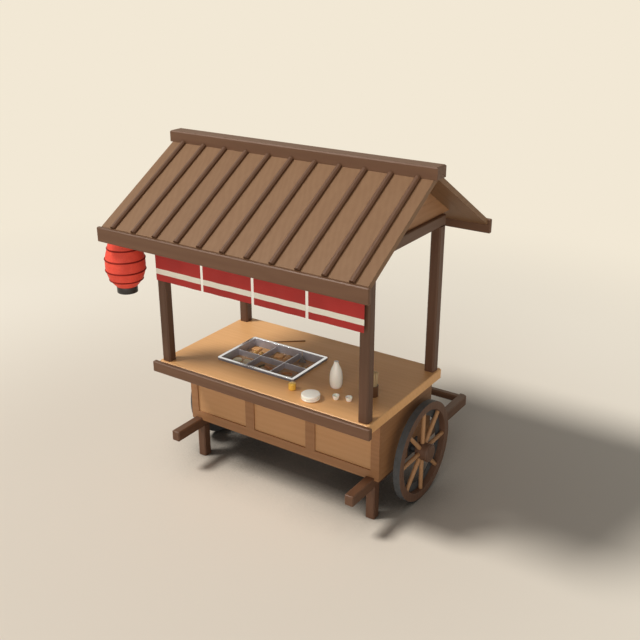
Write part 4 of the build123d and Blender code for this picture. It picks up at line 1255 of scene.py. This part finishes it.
    def bundle(self) -> None:
        """The chopsticks that fill the holder, each leaning a little outward."""
        low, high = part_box("chopsticks")
        holder_low, holder_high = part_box("chopstick_holder")
        centre = (holder_low + holder_high) / 2
        tall = high.z - low.z
        outline = [(self.stick * 0.7, 0.0), (self.stick * 0.8, 0.001), (self.stick, tall - 0.001),
                   (self.stick * 0.85, tall)]
        first = Bench.turned("chopstick", outline, (0, 0, 0), 8, 25.0)
        reach = (holder_high.x - holder_low.x) / 2 - self.holder_wall - self.stick
        made = []
        for index in range(self.sticks):
            out = reach * math.sqrt((index + 0.5) / self.sticks)
            angle = math.radians(self.stick_turn * index)
            away = Vector((math.cos(angle), math.sin(angle), 0.0))
            foot = Vector((centre.x, centre.y, low.z)) + away * out * self.stick_foot_share
            head = Vector((centre.x, centre.y, low.z + tall)) + away * out * self.stick_head_share
            stick = Bench.again(first)
            stick.scale = (1, 1, 1.0 - self.stick_uneven * ((index * 7) % 5) / 4)
            made.append(Bench.aimed(stick, foot, head))
        bpy.data.objects.remove(first)
        piece = self.palette.coat(Bench.joined(made, "chopstick_bundle"), Finish.BAMBOO)
        place_piece(piece, STALL, "pale_bamboo", "chopsticks")

    def cooking_pair(self) -> None:
        """The long dark cooking chopsticks that lie side by side behind the pan."""
        low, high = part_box("cooking_chopsticks")
        along = Vector((high.x - low.x, high.y - low.y, 0.0))
        length = along.length - self.cooking_end_gap * 2
        thin, thick = self.cooking_stick * self.cooking_taper, self.cooking_stick
        outline = [(thin * 0.7, 0.0), (thin, 0.0015), (mixed(thin, thick, 0.5), length * 0.5),
                   (thick, length - 0.0015), (thick * 0.75, length)]
        unit = along.normalized()
        side = Vector((-unit.y, unit.x, 0.0))
        lines = []
        for beside in (-side, side):
            start = Vector((low.x, low.y, low.z + thin)) + unit * self.cooking_end_gap
            start += beside * thin * self.cooking_spread
            widening = (beside + Vector((0, 0, 1))) * (thick - thin)
            lines.append((start, start + unit * length + widening))
        first = Bench.turned("cooking_stick", outline, (0, 0, 0), 12, 35.0)
        made = Bench.repeated(first, "cooking_stick_pair", lines)
        piece = self.palette.coat(made, Finish.SMOKED_BAMBOO)
        place_piece(piece, STALL, "brown_bamboo", "cooking_chopsticks")

    def build(self) -> None:
        """Makes all the tableware."""
        self.jar()
        self.dish()
        self.bottle()
        self.cups()
        self.holder()
        self.bundle()
        self.cooking_pair()


@dataclass
class Studio:
    """Camera at the photo's view, one large lamp, low soft light, a pale floor and pale surroundings."""

    focal_pixels: float = 894.1
    picture_pixels: float = 640.0
    sensor_mm: float = 36.0
    eye: tuple[float, float, float] = (3.4775, -5.0500, 3.7300)
    down_degrees: float = 22.59
    turn_degrees: float = 33.77
    pale: Colour = (0.888, 0.807, 0.665)
    floor_radius: float = 120.0
    # The near floor colour is a painted shade round the stall.
    floor_painted_shade: Colour = (0.72, 0.660, 0.575)
    floor_far: Colour = (0.90, 0.85, 0.75)
    floor_centre: tuple[float, float] = (-0.4, -0.9)
    floor_near_reach: float = 1.4
    floor_far_reach: float = 5.2
    paper_near_reach: float = 4.2
    paper_far_reach: float = 8.0
    # Reach and colour of the painted shade in nooks under and beside the stall.
    painted_shade_reach: float = 0.62
    painted_shade_colour: Colour = (0.030, 0.030, 0.028)
    ambient: float = 0.16
    ambient_colour: Colour = (1.0, 0.975, 0.94)
    lamp_colour: Colour = (1.0, 0.965, 0.915)
    key_place: tuple[float, float, float] = (-7.85, -7.24, 14.8)
    key_aim: tuple[float, float, float] = (0.0, 0.0, 1.0)
    key_size: float = 4.3
    key_strength: float = 8.73
    fill_strength: float = 1.42
    fill_degrees: float = 50.0
    fill_height: float = 9.0
    fill_heading: float = 22.0

    def camera(self) -> None:
        """Sets the camera where the photo's was."""
        data = bpy.data.cameras.new("camera")
        data.sensor_width = self.sensor_mm
        data.lens = self.focal_pixels / self.picture_pixels * self.sensor_mm
        camera = bpy.data.objects.new("camera", data)
        camera.location = self.eye
        camera.rotation_euler = (math.radians(90.0 - self.down_degrees), 0.0,
                                 math.radians(self.turn_degrees))
        bpy.context.scene.collection.objects.link(camera)
        bpy.context.scene.camera = camera

    def lamp(self, name: str, kind: str, energy: float) -> bpy.types.Object:
        """Adds one lamp of the warm lamp colour."""
        data = bpy.data.lights.new(name, kind)
        data.energy = energy
        data.color = self.lamp_colour
        lamp = bpy.data.objects.new(name, data)
        bpy.context.scene.collection.objects.link(lamp)
        return lamp

    def key(self) -> None:
        """Hangs the large round key lamp to the left, as bright near as far."""
        lamp = self.lamp("key_lamp", "AREA", self.key_strength)
        lamp.data.shape = "DISK"
        lamp.data.size = self.key_size
        graph = Graph(lamp.data)
        falloff = graph.node("ShaderNodeLightFalloff", {}, {"Strength": 1.0})
        glow = graph.node("ShaderNodeEmission", {}, {"Strength": falloff.outputs["Constant"]})
        graph.node("ShaderNodeOutputLight", {}, {0: glow.outputs[0]})
        lamp.location = self.key_place
        aim = Vector(self.key_aim) - Vector(self.key_place)
        lamp.rotation_euler = aim.to_track_quat("-Z", "Y").to_euler()

    def fill(self) -> None:
        """Adds low soft light from the front, which reaches under the roof."""
        lamp = self.lamp("soft_fill", "SUN", self.fill_strength)
        lamp.data.angle = math.radians(self.fill_degrees)
        lamp.rotation_euler = (math.radians(90.0 - self.fill_height), 0.0, math.radians(self.fill_heading))

    def surroundings(self) -> None:
        """Lights the scene evenly, and shows pale paper to the camera and to gloss."""
        world = bpy.data.worlds.new("surroundings")
        bpy.context.scene.world = world
        graph = Graph(world)
        path = graph.node("ShaderNodeLightPath", {}, {})
        camera, gloss, through = (Value(graph, path.outputs[f"Is {kind} Ray"])
                                  for kind in ("Camera", "Glossy", "Transmission"))
        shown = camera.at_least(gloss).at_least(through)
        light = graph.node("ShaderNodeBackground", {}, {"Color": self.ambient_colour,
                                                        "Strength": self.ambient})
        paper = graph.node("ShaderNodeBackground", {}, {"Color": self.pale, "Strength": 1.0})
        both = graph.node("ShaderNodeMixShader", {}, {0: shown, 1: light.outputs[0], 2: paper.outputs[0]})
        graph.node("ShaderNodeOutputWorld", {}, {0: both.outputs[0]})

    def floor(self) -> None:
        """Lays a wide pale floor with painted shade towards the stall and in nooks, which turns into plain
        pale paper far away.
        """
        Bench.clear()
        bpy.ops.mesh.primitive_circle_add(vertices=96, radius=self.floor_radius, fill_type="NGON")
        floor = Bench.settle(bpy.context.object, "floor")
        graph = Graph(bpy.data.materials.new("pale_floor"))
        x, y, _ = graph.place()
        right, back = x - self.floor_centre[0], y - self.floor_centre[1]
        distance = (right * right + back * back).root()
        # Painted shade: the floor is painted darker towards the stall.
        away = distance.step(self.floor_near_reach, self.floor_far_reach)
        beyond = distance.step(self.paper_near_reach, self.paper_far_reach)
        # Painted shade: where ambient occlusion finds nooks under and beside the stall, the floor is painted
        # near black.
        nook = graph.node("ShaderNodeAmbientOcclusion", {"samples": 8}, {"Distance": self.painted_shade_reach})
        unshaded_share = Value(graph, nook.outputs["AO"]).step(0.10, 0.95)
        floor_with_painted_shade = graph.mix(away, self.floor_painted_shade, self.floor_far)
        colour = graph.mix(unshaded_share, self.painted_shade_colour, floor_with_painted_shade)
        matt = graph.node("ShaderNodeBsdfPrincipled", {}, {"Base Color": colour, "Roughness": 0.9,
                                                           "Specular IOR Level": 0.0})
        paper = graph.node("ShaderNodeEmission", {}, {"Color": self.pale, "Strength": 1.0})
        both = graph.node("ShaderNodeMixShader", {}, {0: beyond, 1: matt.outputs[0], 2: paper.outputs[0]})
        graph.node("ShaderNodeOutputMaterial", {}, {0: both.outputs[0]})
        floor.data.materials.append(graph.holder)

    def build(self) -> None:
        """Sets up the studio."""
        bpy.context.scene.view_settings.view_transform = "Standard"
        self.camera()
        self.key()
        self.fill()
        self.surroundings()
        self.floor()


def main() -> None:
    """Builds the studio and dresses the stall."""
    logging.basicConfig(level=logging.INFO, format="%(name)s: %(message)s")
    palette = Palette()
    Studio().build()
    Timberwork(palette).dress()
    Curtain(palette).build()
    PaperLantern(palette).build()
    Wheels(palette).build()
    OdenPan(palette).build()
    Tableware(palette).build()
    Bench.clear()


if __name__ == "__main__":
    main()
